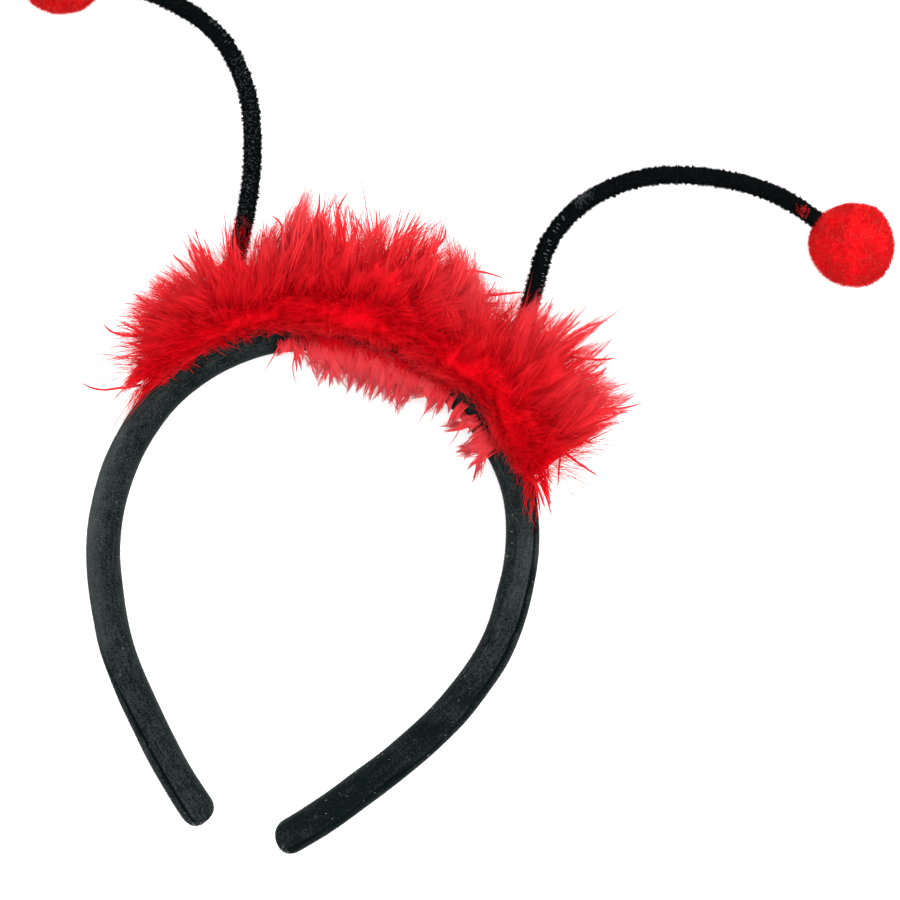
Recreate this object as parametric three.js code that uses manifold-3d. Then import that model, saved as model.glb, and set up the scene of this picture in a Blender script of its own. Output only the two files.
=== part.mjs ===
// A ladybug costume headband. A padded velour band carries a marabou feather trim over its
// crown, and two chenille feelers rise through the feathers and end in red pompoms.
// The headband lies on its back: +Y points from the tips of the band to its crown, +X across
// the head, and +Z is the front of the worn headband. Lengths are millimetres, angles degrees.
import * as THREE from "three";
import { mergeVertices } from "three/addons/utils/BufferGeometryUtils.js";
import Module from "manifold-3d";

const wasm = await Module();
wasm.setup();

// Driving dimensions

const GAP = 0.4; // clearance that glued pieces keep to each other

// The band: a round crown whose two legs bend gently inwards
const BAND = {
  crownRadius: 63.4, // of the centreline
  crownHalfAngle: 112, // from the top of the crown to the start of a leg
  legRadius: 162,
  legLength: 80.8,
  thickness: 10, // as seen from the front
  depth: 12, // from the front of the head to its back
  crownSteps: 34,
  legSteps: 8,
  tipRound: 4.6, // length over which each tip rounds off
  tipDepth: 0.5, // share of the depth that is left at the very end
};
const TIP_SHARES = [0.45, 0.8, 0.98]; // where the sections stand along each rounded tip

// The band's cross-section: share of the half thickness outwards, share of the depth upwards.
// The underside and the face against the head are flat, and the cover's seam is a notch.
const BAND_SECTION = [
  { out: -0.44, up: 0.0 },
  { out: 0.44, up: 0.0 },
  { out: 0.86, up: 0.1 },
  { out: 1.0, up: 0.3 },
  { out: 1.0, up: 0.62 },
  { out: 0.92, up: 0.78 },
  { out: 0.74, up: 0.86 },
  { out: 0.6, up: 0.8, seam: true },
  { out: 0.46, up: 0.92 },
  { out: 0.0, up: 1.0 },
  { out: -0.52, up: 0.95 },
  { out: -0.88, up: 0.8 },
  { out: -1.0, up: 0.6 },
  { out: -1.0, up: 0.28 },
  { out: -0.86, up: 0.1 },
];

// Chenille feelers: a foot glued along the outside of the band, then a free bent stem
const STEM = { radius: 2.75, rib: 0.16, steps: 52, sides: 8, footFrom: 58, footTo: 48, footHeight: 6.5 };

// Each stem above its foot, from where it leaves the band to its end inside the pompom
const STEM_ROUTES = {
  left: [
    { x: -46.4, y: 56.4, z: 7.6 },
    { x: -43.8, y: 68.3, z: 9.6 },
    { x: -43.2, y: 92.3, z: 12 },
    { x: -45.8, y: 111.4, z: 13 },
    { x: -51.8, y: 128, z: 13.6 },
    { x: -63.1, y: 141.3, z: 14 },
    { x: -78.9, y: 148, z: 14 },
    { x: -93.9, y: 149.8, z: 13.6 },
    { x: -108.9, y: 149.3, z: 13 },
  ],
  right: [
    { x: 48.5, y: 54.4, z: 7.6 },
    { x: 46.2, y: 66.4, z: 9.6 },
    { x: 46.2, y: 90.4, z: 12 },
    { x: 47.4, y: 106.4, z: 13 },
    { x: 55.3, y: 120.2, z: 13.6 },
    { x: 70.7, y: 131.1, z: 14 },
    { x: 92.4, y: 136, z: 14 },
    { x: 110.9, y: 135.1, z: 13.6 },
    { x: 130.3, y: 128.3, z: 13 },
  ],
};

// Pompoms: a ball of short tufts, trimmed round, lying on the floor
const POMPOM = { radius: 13, headRadius: 12.1, tufts: 20, tuftRadius: 4.6, tuftSides: 5 };
const TUFT_REACH = { from: 0.985, to: 1.015 }; // share of the pompom's radius
const TUFT_SECTIONS = [
  { share: 0.75, width: 1.0 },
  { share: 0.955, width: 0.78 },
];
const POMPOM_PLACES = { left: { x: -113.7, y: 149.1 }, right: { x: 135.1, y: 126.2 } };

// Marabou trim: dense down along a cord, with locks of feather combed out of it
const TRIM = {
  cordRadius: 76, // the cord's distance from the middle of the crown
  cordHeight: 12.6,
  downAcross: 12.4, // half width of the down, along the radius of the crown
  downUp: 12, // half height of the down
  downSides: 10,
  downEndTaper: 0.45, // share of its width that the down loses at its ends
  halfAngle: 56,
  stations: 20,
  lockRadius: 6.2,
  lockSides: 4,
  splay: 7, // how far a lock's tip may lean along the band, degrees
  endFlare: 5, // extra lean of the locks at both ends, degrees
};

// The trim's reach along the crown: angle from the top, tips' distance from the crown's middle
// outside and inside, and the height of the fluff above the floor
const TRIM_OUTLINE = [
  { angle: -60, outer: 82, inner: 68, top: 22 },
  { angle: -50, outer: 91, inner: 67, top: 29 },
  { angle: -36, outer: 96, inner: 66, top: 32 },
  { angle: -25, outer: 96, inner: 59, top: 33 },
  { angle: -13, outer: 104, inner: 52, top: 35 },
  { angle: 5, outer: 103, inner: 50, top: 35 },
  { angle: 20, outer: 98, inner: 52, top: 34 },
  { angle: 28, outer: 95, inner: 55, top: 34 },
  { angle: 40, outer: 104, inner: 54, top: 34 },
  { angle: 50, outer: 101, inner: 56, top: 30 },
  { angle: 60, outer: 80, inner: 67, top: 22 },
];

// The fan of locks at each station: tip's share of the reach outwards (negative inwards) and of
// the fluff's height, and how far the middle of the lock bows upwards
const LOCK_FAN = [
  { reach: 1.0, height: 0.14, bow: 0 },
  { reach: 1.0, height: 0.42, bow: 2 },
  { reach: 0.72, height: 0.8, bow: 2 },
  { reach: 0.25, height: 1.0, bow: 0 },
  { reach: -0.35, height: 0.95, bow: 2 },
  { reach: -1.0, height: 0.36, bow: 11 },
];
const OVERHANG_FROM = 61; // locks reach over the band only where the inner reach is under this
const LOCK_SECTIONS = [
  { share: 0.0, width: 0.4 },
  { share: 0.6, width: 1.0 },
];
const LOCK_LENGTH = { from: 0.86, to: 1.06 }; // shares of the tabled sizes, lock by lock
const LOCK_HEIGHT = { from: 0.88, to: 1.04 };
const LOCK_WIDTH = { from: 0.85, to: 1.15 };

// Helpers

const radians = THREE.MathUtils.degToRad;

// A repeatable number from 0 to 1 for lock, tuft or rib number i and use k
function scatter(i, k) {
  const wave = Math.sin(i * 12.9898 + k * 78.233) * 43758.5453;
  return wave - Math.floor(wave);
}

const scattered = (range, i, k) => THREE.MathUtils.lerp(range.from, range.to, scatter(i, k));

// The point at an angle from the top of the crown, a distance from its middle, and a height
function polar(angle, distance, height) {
  return new THREE.Vector3(
    distance * Math.sin(radians(angle)),
    distance * Math.cos(radians(angle)),
    height,
  );
}

// A closed skin through rings of points, all with the same number of points. The last ring is
// closed by a flat cap, or by a point when the skin ends in a tip.
function loft(rings, tip) {
  const sides = rings[0].length;
  const middle = (ring) => ring.reduce((sum, p) => sum.add(p), new THREE.Vector3()).divideScalar(sides);
  const points = [...rings.flat(), middle(rings[0]), tip ?? middle(rings.at(-1))];
  const first = rings.length * sides;
  const faces = [];
  for (let s = 0; s < sides; s++) {
    const next = (s + 1) % sides;
    for (let r = 0; r + 1 < rings.length; r++) {
      const [a, b, c, d] = [r * sides + s, r * sides + next, (r + 1) * sides + next, (r + 1) * sides + s];
      faces.push(a, b, c, a, c, d);
    }
    const last = (rings.length - 1) * sides;
    faces.push(first, next, s, first + 1, last + s, last + next);
  }
  const geometry = new THREE.BufferGeometry().setFromPoints(points);
  geometry.setIndex(faces);
  return signedVolume(geometry) < 0 ? turnedOut(geometry) : geometry;
}

function signedVolume(geometry) {
  const [a, b, c] = [new THREE.Vector3(), new THREE.Vector3(), new THREE.Vector3()];
  const { array } = geometry.index;
  let volume = 0;
  for (let i = 0; i < array.length; i += 3) {
    a.fromBufferAttribute(geometry.attributes.position, array[i]);
    b.fromBufferAttribute(geometry.attributes.position, array[i + 1]);
    c.fromBufferAttribute(geometry.attributes.position, array[i + 2]);
    volume += a.dot(b.cross(c)) / 6;
  }
  return volume;
}

function turnedOut(geometry) {
  return geometry.setIndex(Array.from(geometry.index.array).reverse());
}

function solidOf(geometry) {
  const bare = geometry.clone();
  bare.deleteAttribute("normal");
  bare.deleteAttribute("uv");
  const merged = mergeVertices(bare, 1e-4);
  return new wasm.Manifold(
    new wasm.Mesh({
      numProp: 3,
      vertProperties: new Float32Array(merged.attributes.position.array),
      triVerts: new Uint32Array(merged.index.array),
    }),
  );
}

function geometryOf(solid) {
  const { vertProperties, triVerts } = solid.getMesh();
  const geometry = new THREE.BufferGeometry();
  geometry.setAttribute("position", new THREE.BufferAttribute(vertProperties, 3));
  geometry.setIndex(new THREE.BufferAttribute(triVerts, 1));
  geometry.computeVertexNormals();
  return geometry;
}

const joined = (solids) => solids.reduce((all, one) => all.add(one));
const largest = (solid) => solid.decompose().sort((a, b) => b.volume() - a.volume())[0];

// Headband

const crownLength = BAND.crownRadius * radians(BAND.crownHalfAngle);
const bandHalfLength = crownLength + BAND.legLength;

// The centreline's point and outward direction at a distance from the top, negative to the left
function bandStation(distance) {
  const side = Math.sign(distance) || 1;
  const along = Math.abs(distance);
  const outward = (angle) => new THREE.Vector3(side * Math.sin(angle), Math.cos(angle), 0);
  const crownAngle = Math.min(along, crownLength) / BAND.crownRadius;
  const point = outward(crownAngle).multiplyScalar(BAND.crownRadius);
  if (along <= crownLength) return { point, out: outward(crownAngle) };
  const angle = crownAngle + (along - crownLength) / BAND.legRadius;
  point.addScaledVector(outward(crownAngle), -BAND.legRadius);
  point.addScaledVector(outward(angle), BAND.legRadius);
  return { point, out: outward(angle) };
}

// Distances from one tip to the other, closer together where the tips round off
function bandDistances() {
  const half = [];
  for (let i = 0; i < BAND.crownSteps / 2; i++) half.push((crownLength * i) / (BAND.crownSteps / 2));
  const straight = BAND.legLength - BAND.tipRound;
  for (let i = 0; i <= BAND.legSteps; i++) half.push(crownLength + (straight * i) / BAND.legSteps);
  for (const share of TIP_SHARES) half.push(bandHalfLength - BAND.tipRound * (1 - share));
  return [...half.slice(1).reverse().map((d) => -d), ...half];
}

// The band's skin. Grown by a clearance, it passes over the seam.
function bandGeometry(clearance = 0) {
  const halfThickness = BAND.thickness / 2;
  const section = BAND_SECTION.filter((row) => !(row.seam && clearance));
  const rings = bandDistances().map((distance) => {
    const { point, out } = bandStation(distance);
    const fromTip = Math.min(1, (bandHalfLength - Math.abs(distance)) / BAND.tipRound);
    const plump = Math.cbrt(1 - (1 - fromTip) ** 3);
    const across = halfThickness * plump + clearance;
    const upwards = (BAND.depth / 2) * THREE.MathUtils.lerp(BAND.tipDepth, 1, plump) + clearance;
    return section.map((row) => {
      const corner = point.clone().addScaledVector(out, row.out * across);
      corner.z = BAND.depth / 2 + (row.up - 0.5) * 2 * upwards;
      return corner;
    });
  });
  return loft(rings);
}

// Feelers

function stemCurve(side) {
  const mirror = side === "left" ? -1 : 1;
  const footRadius = BAND.crownRadius + BAND.thickness / 2 + STEM.radius + STEM.rib + GAP;
  const footAngles = [STEM.footFrom, (STEM.footFrom + STEM.footTo) / 2, STEM.footTo];
  const foot = footAngles.map((angle) => polar(mirror * angle, footRadius, STEM.footHeight));
  const free = STEM_ROUTES[side].map(({ x, y, z }) => new THREE.Vector3(x, y, z));
  return new THREE.CatmullRomCurve3([...foot, ...free], false, "centripetal");
}

// A ribbed tube along the stem, where every second ring of pile stands a little prouder
function stemGeometry(side, clearance = 0) {
  const curve = stemCurve(side);
  const frames = curve.computeFrenetFrames(STEM.steps, false);
  const rings = frames.tangents.map((_, i) => {
    const centre = curve.getPointAt(i / STEM.steps);
    const radius = STEM.radius + (i % 2 ? STEM.rib : -STEM.rib) + clearance;
    return Array.from({ length: STEM.sides }, (_, s) => {
      const turn = (2 * Math.PI * s) / STEM.sides;
      return centre
        .clone()
        .addScaledVector(frames.normals[i], radius * Math.cos(turn))
        .addScaledVector(frames.binormals[i], radius * Math.sin(turn));
    });
  });
  return loft(rings);
}

// Pompoms

// One blunt tuft from inside the ball to its trimmed surface
function tuftGeometry(direction, number) {
  const across = new THREE.Vector3(0, 0, 1).cross(direction);
  if (across.length() < 0.1) across.set(1, 0, 0);
  across.normalize();
  const other = direction.clone().cross(across);
  const reach = POMPOM.radius * scattered(TUFT_REACH, number, 1);
  const rings = TUFT_SECTIONS.map(({ share, width }) =>
    Array.from({ length: POMPOM.tuftSides }, (_, s) => {
      const turn = (2 * Math.PI * (s + scatter(number, 2))) / POMPOM.tuftSides;
      return direction
        .clone()
        .multiplyScalar(reach * share)
        .addScaledVector(across, POMPOM.tuftRadius * width * Math.cos(turn))
        .addScaledVector(other, POMPOM.tuftRadius * width * Math.sin(turn));
    }),
  );
  return loft(rings, direction.clone().multiplyScalar(reach));
}

function pompomGeometry(side) {
  const head = solidOf(new THREE.IcosahedronGeometry(POMPOM.headRadius, 1));
  const goldenAngle = Math.PI * (3 - Math.sqrt(5));
  const tufts = Array.from({ length: POMPOM.tufts }, (_, i) => {
    const height = 1 - (2 * i + 1) / POMPOM.tufts;
    const flat = Math.sqrt(1 - height * height);
    const direction = new THREE.Vector3(flat * Math.cos(i * goldenAngle), flat * Math.sin(i * goldenAngle), height);
    return solidOf(tuftGeometry(direction, i));
  });
  const ball = joined([head, ...tufts]);
  const { x, y } = POMPOM_PLACES[side];
  const lift = -ball.boundingBox().min[2];
  return geometryOf(largest(ball.translate([x, y, lift]).subtract(solidOf(stemGeometry(side, GAP)))));
}

// Marabou trim

// The outline's row at any angle, between the rows of the table
function outlineAt(angle) {
  const last = TRIM_OUTLINE.length - 1;
  const i = Math.min(last - 1, Math.max(0, TRIM_OUTLINE.findLastIndex((row) => row.angle <= angle)));
  const [from, to] = [TRIM_OUTLINE[i], TRIM_OUTLINE[i + 1]];
  const share = THREE.MathUtils.clamp((angle - from.angle) / (to.angle - from.angle), 0, 1);
  const between = (column) => THREE.MathUtils.lerp(from[column], to[column], share);
  return { outer: between("outer"), inner: between("inner"), top: between("top") };
}

// The dense down that hides the cord, tapered at both ends
function downGeometry() {
  const rings = Array.from({ length: TRIM.stations }, (_, i) => {
    const share = (2 * i) / (TRIM.stations - 1) - 1;
    const angle = TRIM.halfAngle * share;
    const size = 1 - TRIM.downEndTaper * share ** 8;
    return Array.from({ length: TRIM.downSides }, (_, s) => {
      const turn = (2 * Math.PI * (s + 0.5)) / TRIM.downSides;
      const height = TRIM.cordHeight + size * TRIM.downUp * Math.sin(turn);
      return polar(angle, TRIM.cordRadius + size * TRIM.downAcross * Math.cos(turn), height);
    });
  });
  return loft(rings);
}

// A lock of feather that tapers along a bowed line from the cord to its tip
function lockGeometry(root, bend, tip, radius) {
  const curve = new THREE.QuadraticBezierCurve3(root, bend, tip);
  const rings = LOCK_SECTIONS.map(({ share, width }) => {
    const centre = curve.getPoint(share);
    const along = curve.getTangent(share);
    const across = along.clone().cross(centre.clone().setZ(0)).normalize();
    const other = along.clone().cross(across);
    return Array.from({ length: TRIM.lockSides }, (_, s) => {
      const turn = (2 * Math.PI * s) / TRIM.lockSides;
      return centre
        .clone()
        .addScaledVector(across, radius * width * Math.cos(turn))
        .addScaledVector(other, radius * width * Math.sin(turn));
    });
  });
  return loft(rings, tip);
}

// The fan of locks at one station along the cord
function locksAt(station) {
  const share = (2 * station) / (TRIM.stations - 1) - 1;
  const angle = TRIM.halfAngle * share;
  const locks = [];
  LOCK_FAN.forEach((row, fan) => {
    const number = station * LOCK_FAN.length + fan;
    const lean = TRIM.splay * (scatter(number, 3) - 0.5) + TRIM.endFlare * share ** 5;
    const tipAngle = angle + lean;
    const { outer, inner, top } = outlineAt(tipAngle);
    if (row.reach === -1 && inner > OVERHANG_FROM) return;
    const full = row.reach < 0 ? TRIM.cordRadius - inner : outer - TRIM.cordRadius;
    const length = full * Math.abs(row.reach) * scattered(LOCK_LENGTH, number, 4);
    const tipHeight = top * row.height * scattered(LOCK_HEIGHT, number, 5);
    const root = polar(angle, TRIM.cordRadius, TRIM.cordHeight);
    const tip = polar(tipAngle, TRIM.cordRadius + Math.sign(row.reach) * length, tipHeight);
    const bend = root.clone().lerp(tip, 0.5);
    bend.z += row.bow;
    const radius = TRIM.lockRadius * scattered(LOCK_WIDTH, number, 6);
    locks.push(lockGeometry(root, bend, tip, radius));
  });
  return locks;
}

function trimGeometry() {
  const locks = Array.from({ length: TRIM.stations }, (_, station) => locksAt(station)).flat();
  const plume = joined([downGeometry(), ...locks].map(solidOf));
  const channels = [bandGeometry(GAP), stemGeometry("left", GAP), stemGeometry("right", GAP)].map(solidOf);
  return geometryOf(largest(channels.reduce((rest, channel) => rest.subtract(channel), plume)));
}

// Materials

const velour = new THREE.MeshStandardMaterial({ color: 0x23292b, roughness: 0.95, metalness: 0 });
const chenille = new THREE.MeshStandardMaterial({ color: 0x0c1414, roughness: 0.9, metalness: 0 });
const marabou = new THREE.MeshStandardMaterial({ color: 0xcb121e, roughness: 0.85, metalness: 0 });
const acrylicPile = new THREE.MeshStandardMaterial({ color: 0xea2228, roughness: 0.9, metalness: 0 });

// Assembly

function piece(name, geometry, material) {
  const mesh = new THREE.Mesh(geometry, material);
  mesh.name = name;
  return mesh;
}

const tiara = new THREE.Group();
tiara.add(piece("headband", bandGeometry(), velour));
tiara.add(piece("marabou_trim", trimGeometry(), marabou));
for (const side of ["left", "right"]) {
  tiara.add(piece(`${side}_feeler_stem`, stemGeometry(side), chenille));
  tiara.add(piece(`${side}_pompom`, pompomGeometry(side), acrylicPile));
}

// The origin is on the floor, under the middle of the whole headband
const box = new THREE.Box3().setFromObject(tiara, true);
const middle = box.getCenter(new THREE.Vector3());
tiara.position.set(-middle.x, -middle.y, -box.min.z);

const part = new THREE.Group();
part.add(tiara);

export default part;
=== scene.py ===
# A ladybug costume headband: a padded velour band, two chenille feelers with pompoms, and a marabou
# trim glued over the crown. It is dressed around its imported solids, in metres.
import math

import bpy
import numpy as np
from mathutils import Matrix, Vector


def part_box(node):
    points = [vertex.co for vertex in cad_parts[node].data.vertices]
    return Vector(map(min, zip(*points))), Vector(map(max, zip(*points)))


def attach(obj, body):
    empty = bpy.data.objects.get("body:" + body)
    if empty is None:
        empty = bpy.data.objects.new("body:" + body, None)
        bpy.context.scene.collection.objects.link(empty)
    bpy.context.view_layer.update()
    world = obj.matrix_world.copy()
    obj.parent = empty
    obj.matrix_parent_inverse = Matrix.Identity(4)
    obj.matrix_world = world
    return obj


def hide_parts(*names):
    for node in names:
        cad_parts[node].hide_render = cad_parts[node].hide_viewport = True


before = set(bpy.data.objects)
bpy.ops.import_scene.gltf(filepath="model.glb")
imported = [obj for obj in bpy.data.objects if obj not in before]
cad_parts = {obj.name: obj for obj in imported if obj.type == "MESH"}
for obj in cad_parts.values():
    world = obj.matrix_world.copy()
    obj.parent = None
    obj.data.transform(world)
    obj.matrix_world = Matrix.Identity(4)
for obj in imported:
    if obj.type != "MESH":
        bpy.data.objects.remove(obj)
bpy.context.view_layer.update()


# Studio
# The headband lies on a white light table under a wide softbox, with pale surroundings. The camera
# looks straight down on it, and the headband lies a little turned in the picture.

VIEW_CENTRE = (0.02242, 0.00219)
VIEW_TURN = math.radians(13.8)
VIEW_WIDTH = 0.270  # what the picture takes in at the height of the band
VIEW_PLANE = 0.012
LENS_MM = 120
SENSOR_MM = 36
WHITE = (1, 1, 1, 1)
SKY = 1.6
FLOOR_SIZE = 6
FLOOR_COLOUR = (0.93, 0.93, 0.93, 1)
FLOOR_GLOW = 0.3
SOFTBOX = {"place": (0.35, 0.55, 1.3), "size": 0.9, "power": 16}


class Socket:
    """An output of a shader node. Arithmetic on it adds Math nodes to its finish."""

    def __init__(self, finish, output):
        self.finish = finish
        self.output = output

    def maths(self, operation, first, second):
        return self.finish.node("ShaderNodeMath", {"operation": operation}, {0: first, 1: second})[0]

    def __add__(self, other):
        return self.maths("ADD", self, other)

    def __sub__(self, other):
        return self.maths("SUBTRACT", self, other)

    def __rsub__(self, other):
        return self.maths("SUBTRACT", other, self)

    def __mul__(self, other):
        return self.maths("MULTIPLY", self, other)

    def __pow__(self, other):
        return self.maths("POWER", self, other)

    __radd__ = __add__
    __rmul__ = __mul__


class Finish:
    """A material that is put together node by node."""

    def __init__(self, name):
        self.material = bpy.data.materials.new(name)
        self.material.use_nodes = True
        self.tree = self.material.node_tree
        self.tree.nodes.clear()

    def node(self, kind, settings=None, inputs=None):
        """Adds a node, sets it up, fills or links its inputs, and returns its outputs by name and number."""
        made = self.tree.nodes.new(kind)
        for name, value in (settings or {}).items():
            setattr(made, name, value)
        for key, value in (inputs or {}).items():
            if isinstance(value, Socket):
                self.tree.links.new(value.output, made.inputs[key])
            else:
                made.inputs[key].default_value = value
        outputs = {}
        for number, output in enumerate(made.outputs):
            outputs[number] = Socket(self, output)
            outputs.setdefault(output.name, outputs[number])
        return outputs

    def blend(self, share, first, second):
        """A colour between two others."""
        return self.node("ShaderNodeMix", {"data_type": "RGBA"}, {0: share, 6: first, 7: second})[2]

    def noise(self, place, scale, detail):
        inputs = {"Vector": place, "Scale": scale, "Detail": detail}
        return self.node("ShaderNodeTexNoise", inputs=inputs)["Fac"]

    def bump(self, height, strength, distance):
        inputs = {"Height": height, "Strength": strength, "Distance": distance}
        return self.node("ShaderNodeBump", inputs=inputs)["Normal"]

    def attribute(self, name, output):
        return self.node("ShaderNodeAttribute", {"attribute_name": name})[output]

    def matt(self, colour, roughness, specular=0.5, more=None):
        """A shader in one colour, with more inputs by their names."""
        inputs = {"Base Color": colour, "Roughness": roughness, "Specular IOR Level": specular}
        return self.node("ShaderNodeBsdfPrincipled", inputs=inputs | (more or {}))["BSDF"]

    def lit_through(self, shader, colour, share):
        """Lets a share of the light through a shader."""
        glow = self.node("ShaderNodeBsdfTranslucent", inputs={"Color": colour})["BSDF"]
        return self.node("ShaderNodeMixShader", inputs={0: share, 1: shader, 2: glow})["Shader"]

    def surface(self, shader):
        self.node("ShaderNodeOutputMaterial", inputs={"Surface": shader})
        return self.material


def added(operator, name, **options):
    """The object that one of Blender's operators adds."""
    bpy.ops.object.select_all(action="DESELECT")
    operator(**options)
    bpy.context.object.name = name
    return bpy.context.object


sweep = Finish("white_sweep")
glowing = {"Emission Color": WHITE, "Emission Strength": FLOOR_GLOW}
floor = added(bpy.ops.mesh.primitive_plane_add, "floor", size=FLOOR_SIZE)
floor.data.materials.append(sweep.surface(sweep.matt(FLOOR_COLOUR, 0.9, 0.1, glowing)))

world = bpy.data.worlds.new("pale_room")
world.use_nodes = True
world.node_tree.nodes["Background"].inputs["Color"].default_value = WHITE
world.node_tree.nodes["Background"].inputs["Strength"].default_value = SKY
bpy.context.scene.world = world
bpy.context.scene.view_settings.view_transform = "Standard"

softbox = added(bpy.ops.object.light_add, "softbox", type="AREA", location=SOFTBOX["place"])
softbox.data.size = SOFTBOX["size"]
softbox.data.energy = SOFTBOX["power"]
softbox.rotation_euler = softbox.location.to_track_quat("Z", "Y").to_euler()

view_place = (*VIEW_CENTRE, VIEW_PLANE + VIEW_WIDTH * LENS_MM / SENSOR_MM)
camera = added(bpy.ops.object.camera_add, "camera", location=view_place, rotation=(0, 0, VIEW_TURN))
camera.data.lens = LENS_MM
camera.data.sensor_width = SENSOR_MM
bpy.context.scene.camera = camera


# Headband
# A stiff core with thin padding, covered in charcoal velour that is drawn round it and closed by a
# seam along the outer edge. The section is swept over the crown and down both legs.

CROWN_RADIUS = 0.0634
CROWN_HALF_TURN = math.radians(112)
LEG_RADIUS = 0.162
LEG_LENGTH = 0.0808
BAND_THICKNESS = 0.010
BAND_DEPTH = 0.012
TIP_ROUND = 0.005
TIP_POWER = 2.4
SECTION_POWERS = (2.6, 4)  # how square the section is above and below
TIP_DEPTH = 0.6  # share of the depth that is left at the very end
TIP_CLOSED = 0.97  # how nearly the tips close
TIP_CROWDING = 1.7  # how the rings of the mesh gather there
PADDING_UNEVEN = 0.00006
PADDING_WAVES = (260, 97)  # radians to a metre
PADDING_PHASE = 1.3
# Where the hand-bent band strays from its true line: distance from the top of the crown, shift outwards
BAND_SWAY = [
    (-0.205, 0.0005), (-0.17, 0.0002), (-0.145, 0.0014), (-0.12, 0.0003), (-0.1, -0.0003),
    (-0.08, -0.0001), (-0.06, 0.0006), (-0.03, 0.0008), (0, 0), (0.05, 0.0003), (0.067, 0.0008),
    (0.078, 0), (0.1, -0.0011), (0.12, 0.0001), (0.14, 0.0006), (0.155, 0), (0.175, -0.0005),
    (0.19, 0.0003), (0.205, 0.001),
]
SWAY_END = 0.22
SWAY_STEPS = 441
SWAY_SMOOTHED = 17  # steps
# The right leg is padded wider by a share, and its cover is drawn further, from one place to another
RIGHT_LEG_SWELL = {"by": 0.05, "from": 0.07, "over": 0.03}
RIGHT_LEG_STRETCH = {"by": 0.0013, "from": 0.1, "over": 0.1}
SEAM_ZONE = (math.radians(8), math.radians(82))  # where round the section the seam can run
SEAM_POINTS = 32
PLAIN_POINTS = 44
SEAM_DEPTH = 0.0011
SEAM_WIDTH = 0.075  # radians round the section
LIP_PLUMP = 0.00035  # how far the narrow lip outside the seam stands out
LIP_AWAY = 0.3  # radians from the seam
LIP_WIDTH = 0.2
# The seam from the left tip to the right one: distance from the top of the crown, how open it is,
# and how many degrees round the section it runs
SEAM_ROUTE = [
    (-0.205, 0.8, 66), (-0.18, 1.0, 69), (-0.162, 0.7, 60), (-0.148, 0.2, 40), (-0.136, 0.0, 22),
    (0.064, 0.0, 40), (0.078, 0.8, 50), (0.105, 1.0, 55), (0.12, 0.9, 62), (0.138, 0.4, 56),
    (0.154, 0.2, 52), (0.166, 0.9, 63), (0.182, 0.4, 58), (0.205, 0.7, 60),
]
# How pale the cover is painted, from the left tip to the right one: distance from the top of the crown,
# paleness all over, which also holds painted shade down the legs and most on the right one, paleness along
# a streak of painted sheen, and how many degrees round the section the streak runs
PAINTED_SHADE_AND_SHEEN = [
    (-0.205, 0.12, 0.15, 65), (-0.165, 0.12, 0.12, 65), (-0.15, 0.16, 0.15, 55), (-0.135, 0.2, 0.34, 55),
    (-0.104, 0.19, 0.62, 48), (-0.088, 0.19, 0.57, 48), (-0.075, 0.1, 0.33, 55), (0.07, 0.18, 0.1, 70),
    (0.09, 0.15, 0.38, 72), (0.105, 0.14, 0.14, 90), (0.135, 0.06, 0.03, 110), (0.15, -0.04, 0.06, 150),
    (0.165, -0.04, 0.08, 100), (0.182, -0.08, 0.06, 150), (0.205, 0, 0.05, 90),
]
STREAK_SPREAD = 0.6
# Painted shade, for the seam's groove
SEAM_SHADE = 0.8  # how much darker the nap is in the seam
VELOUR_DARK = (0.002, 0.0045, 0.0044, 1)
VELOUR_PALE = (0.042, 0.049, 0.048, 1)


def columns_at(rows, place, period=None):
    """The columns of a table after its first, read between the stops in that one."""
    stops, *columns = np.array(rows, float).T
    return [np.interp(place, stops, column, period=period) for column in columns]


crown_length = CROWN_RADIUS * CROWN_HALF_TURN
half_length = crown_length + LEG_LENGTH
sway_steps = np.linspace(-SWAY_END, SWAY_END, SWAY_STEPS)
smoothing = np.hanning(SWAY_SMOOTHED) / np.hanning(SWAY_SMOOTHED).sum()
sway_line = np.convolve(columns_at(BAND_SWAY, sway_steps)[0], smoothing, mode="same")
band_low, band_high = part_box("headband")
crown_middle = np.array(
    [(band_low.x + band_high.x) / 2, band_high.y - CROWN_RADIUS - BAND_THICKNESS / 2]
)


def band_line(along):
    """Points of the band's middle line and its outward directions, by distance from the top of the crown."""
    side = np.where(along < 0, -1.0, 1.0)
    knee_turn = np.minimum(np.abs(along), crown_length) / CROWN_RADIUS
    turn = knee_turn + np.maximum(np.abs(along) - crown_length, 0) / LEG_RADIUS
    knee = np.stack([side * np.sin(knee_turn), np.cos(knee_turn)], axis=-1)
    outward = np.stack([side * np.sin(turn), np.cos(turn)], axis=-1)
    return crown_middle + CROWN_RADIUS * knee + LEG_RADIUS * (outward - knee), outward


def band_place(along, out, height):
    """Points of the part from their distance along the band, out from its middle line, and height."""
    line, outward = band_line(along)
    flat = line + outward * out[..., None]
    return np.concatenate([flat, height[..., None]], axis=-1)


def band_measure(points):
    """The reverse of band_place: distance along the band and out from its middle line."""
    flat = points[..., :2] - crown_middle
    side = np.where(flat[..., 0] < 0, -1.0, 1.0)
    turn = np.arctan2(np.abs(flat[..., 0]), flat[..., 1])
    knee = np.stack([side * np.sin(CROWN_HALF_TURN), np.full_like(side, np.cos(CROWN_HALF_TURN))], axis=-1)
    from_leg = flat - (CROWN_RADIUS - LEG_RADIUS) * knee
    leg_turn = np.arctan2(side * from_leg[..., 0], from_leg[..., 1]) - CROWN_HALF_TURN
    on_crown = turn <= CROWN_HALF_TURN
    along = np.where(on_crown, turn * CROWN_RADIUS, crown_length + leg_turn * LEG_RADIUS)
    crown_out = np.linalg.norm(flat, axis=-1) - CROWN_RADIUS
    leg_out = np.linalg.norm(from_leg, axis=-1) - LEG_RADIUS
    return side * along, np.where(on_crown, crown_out, leg_out)


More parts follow.
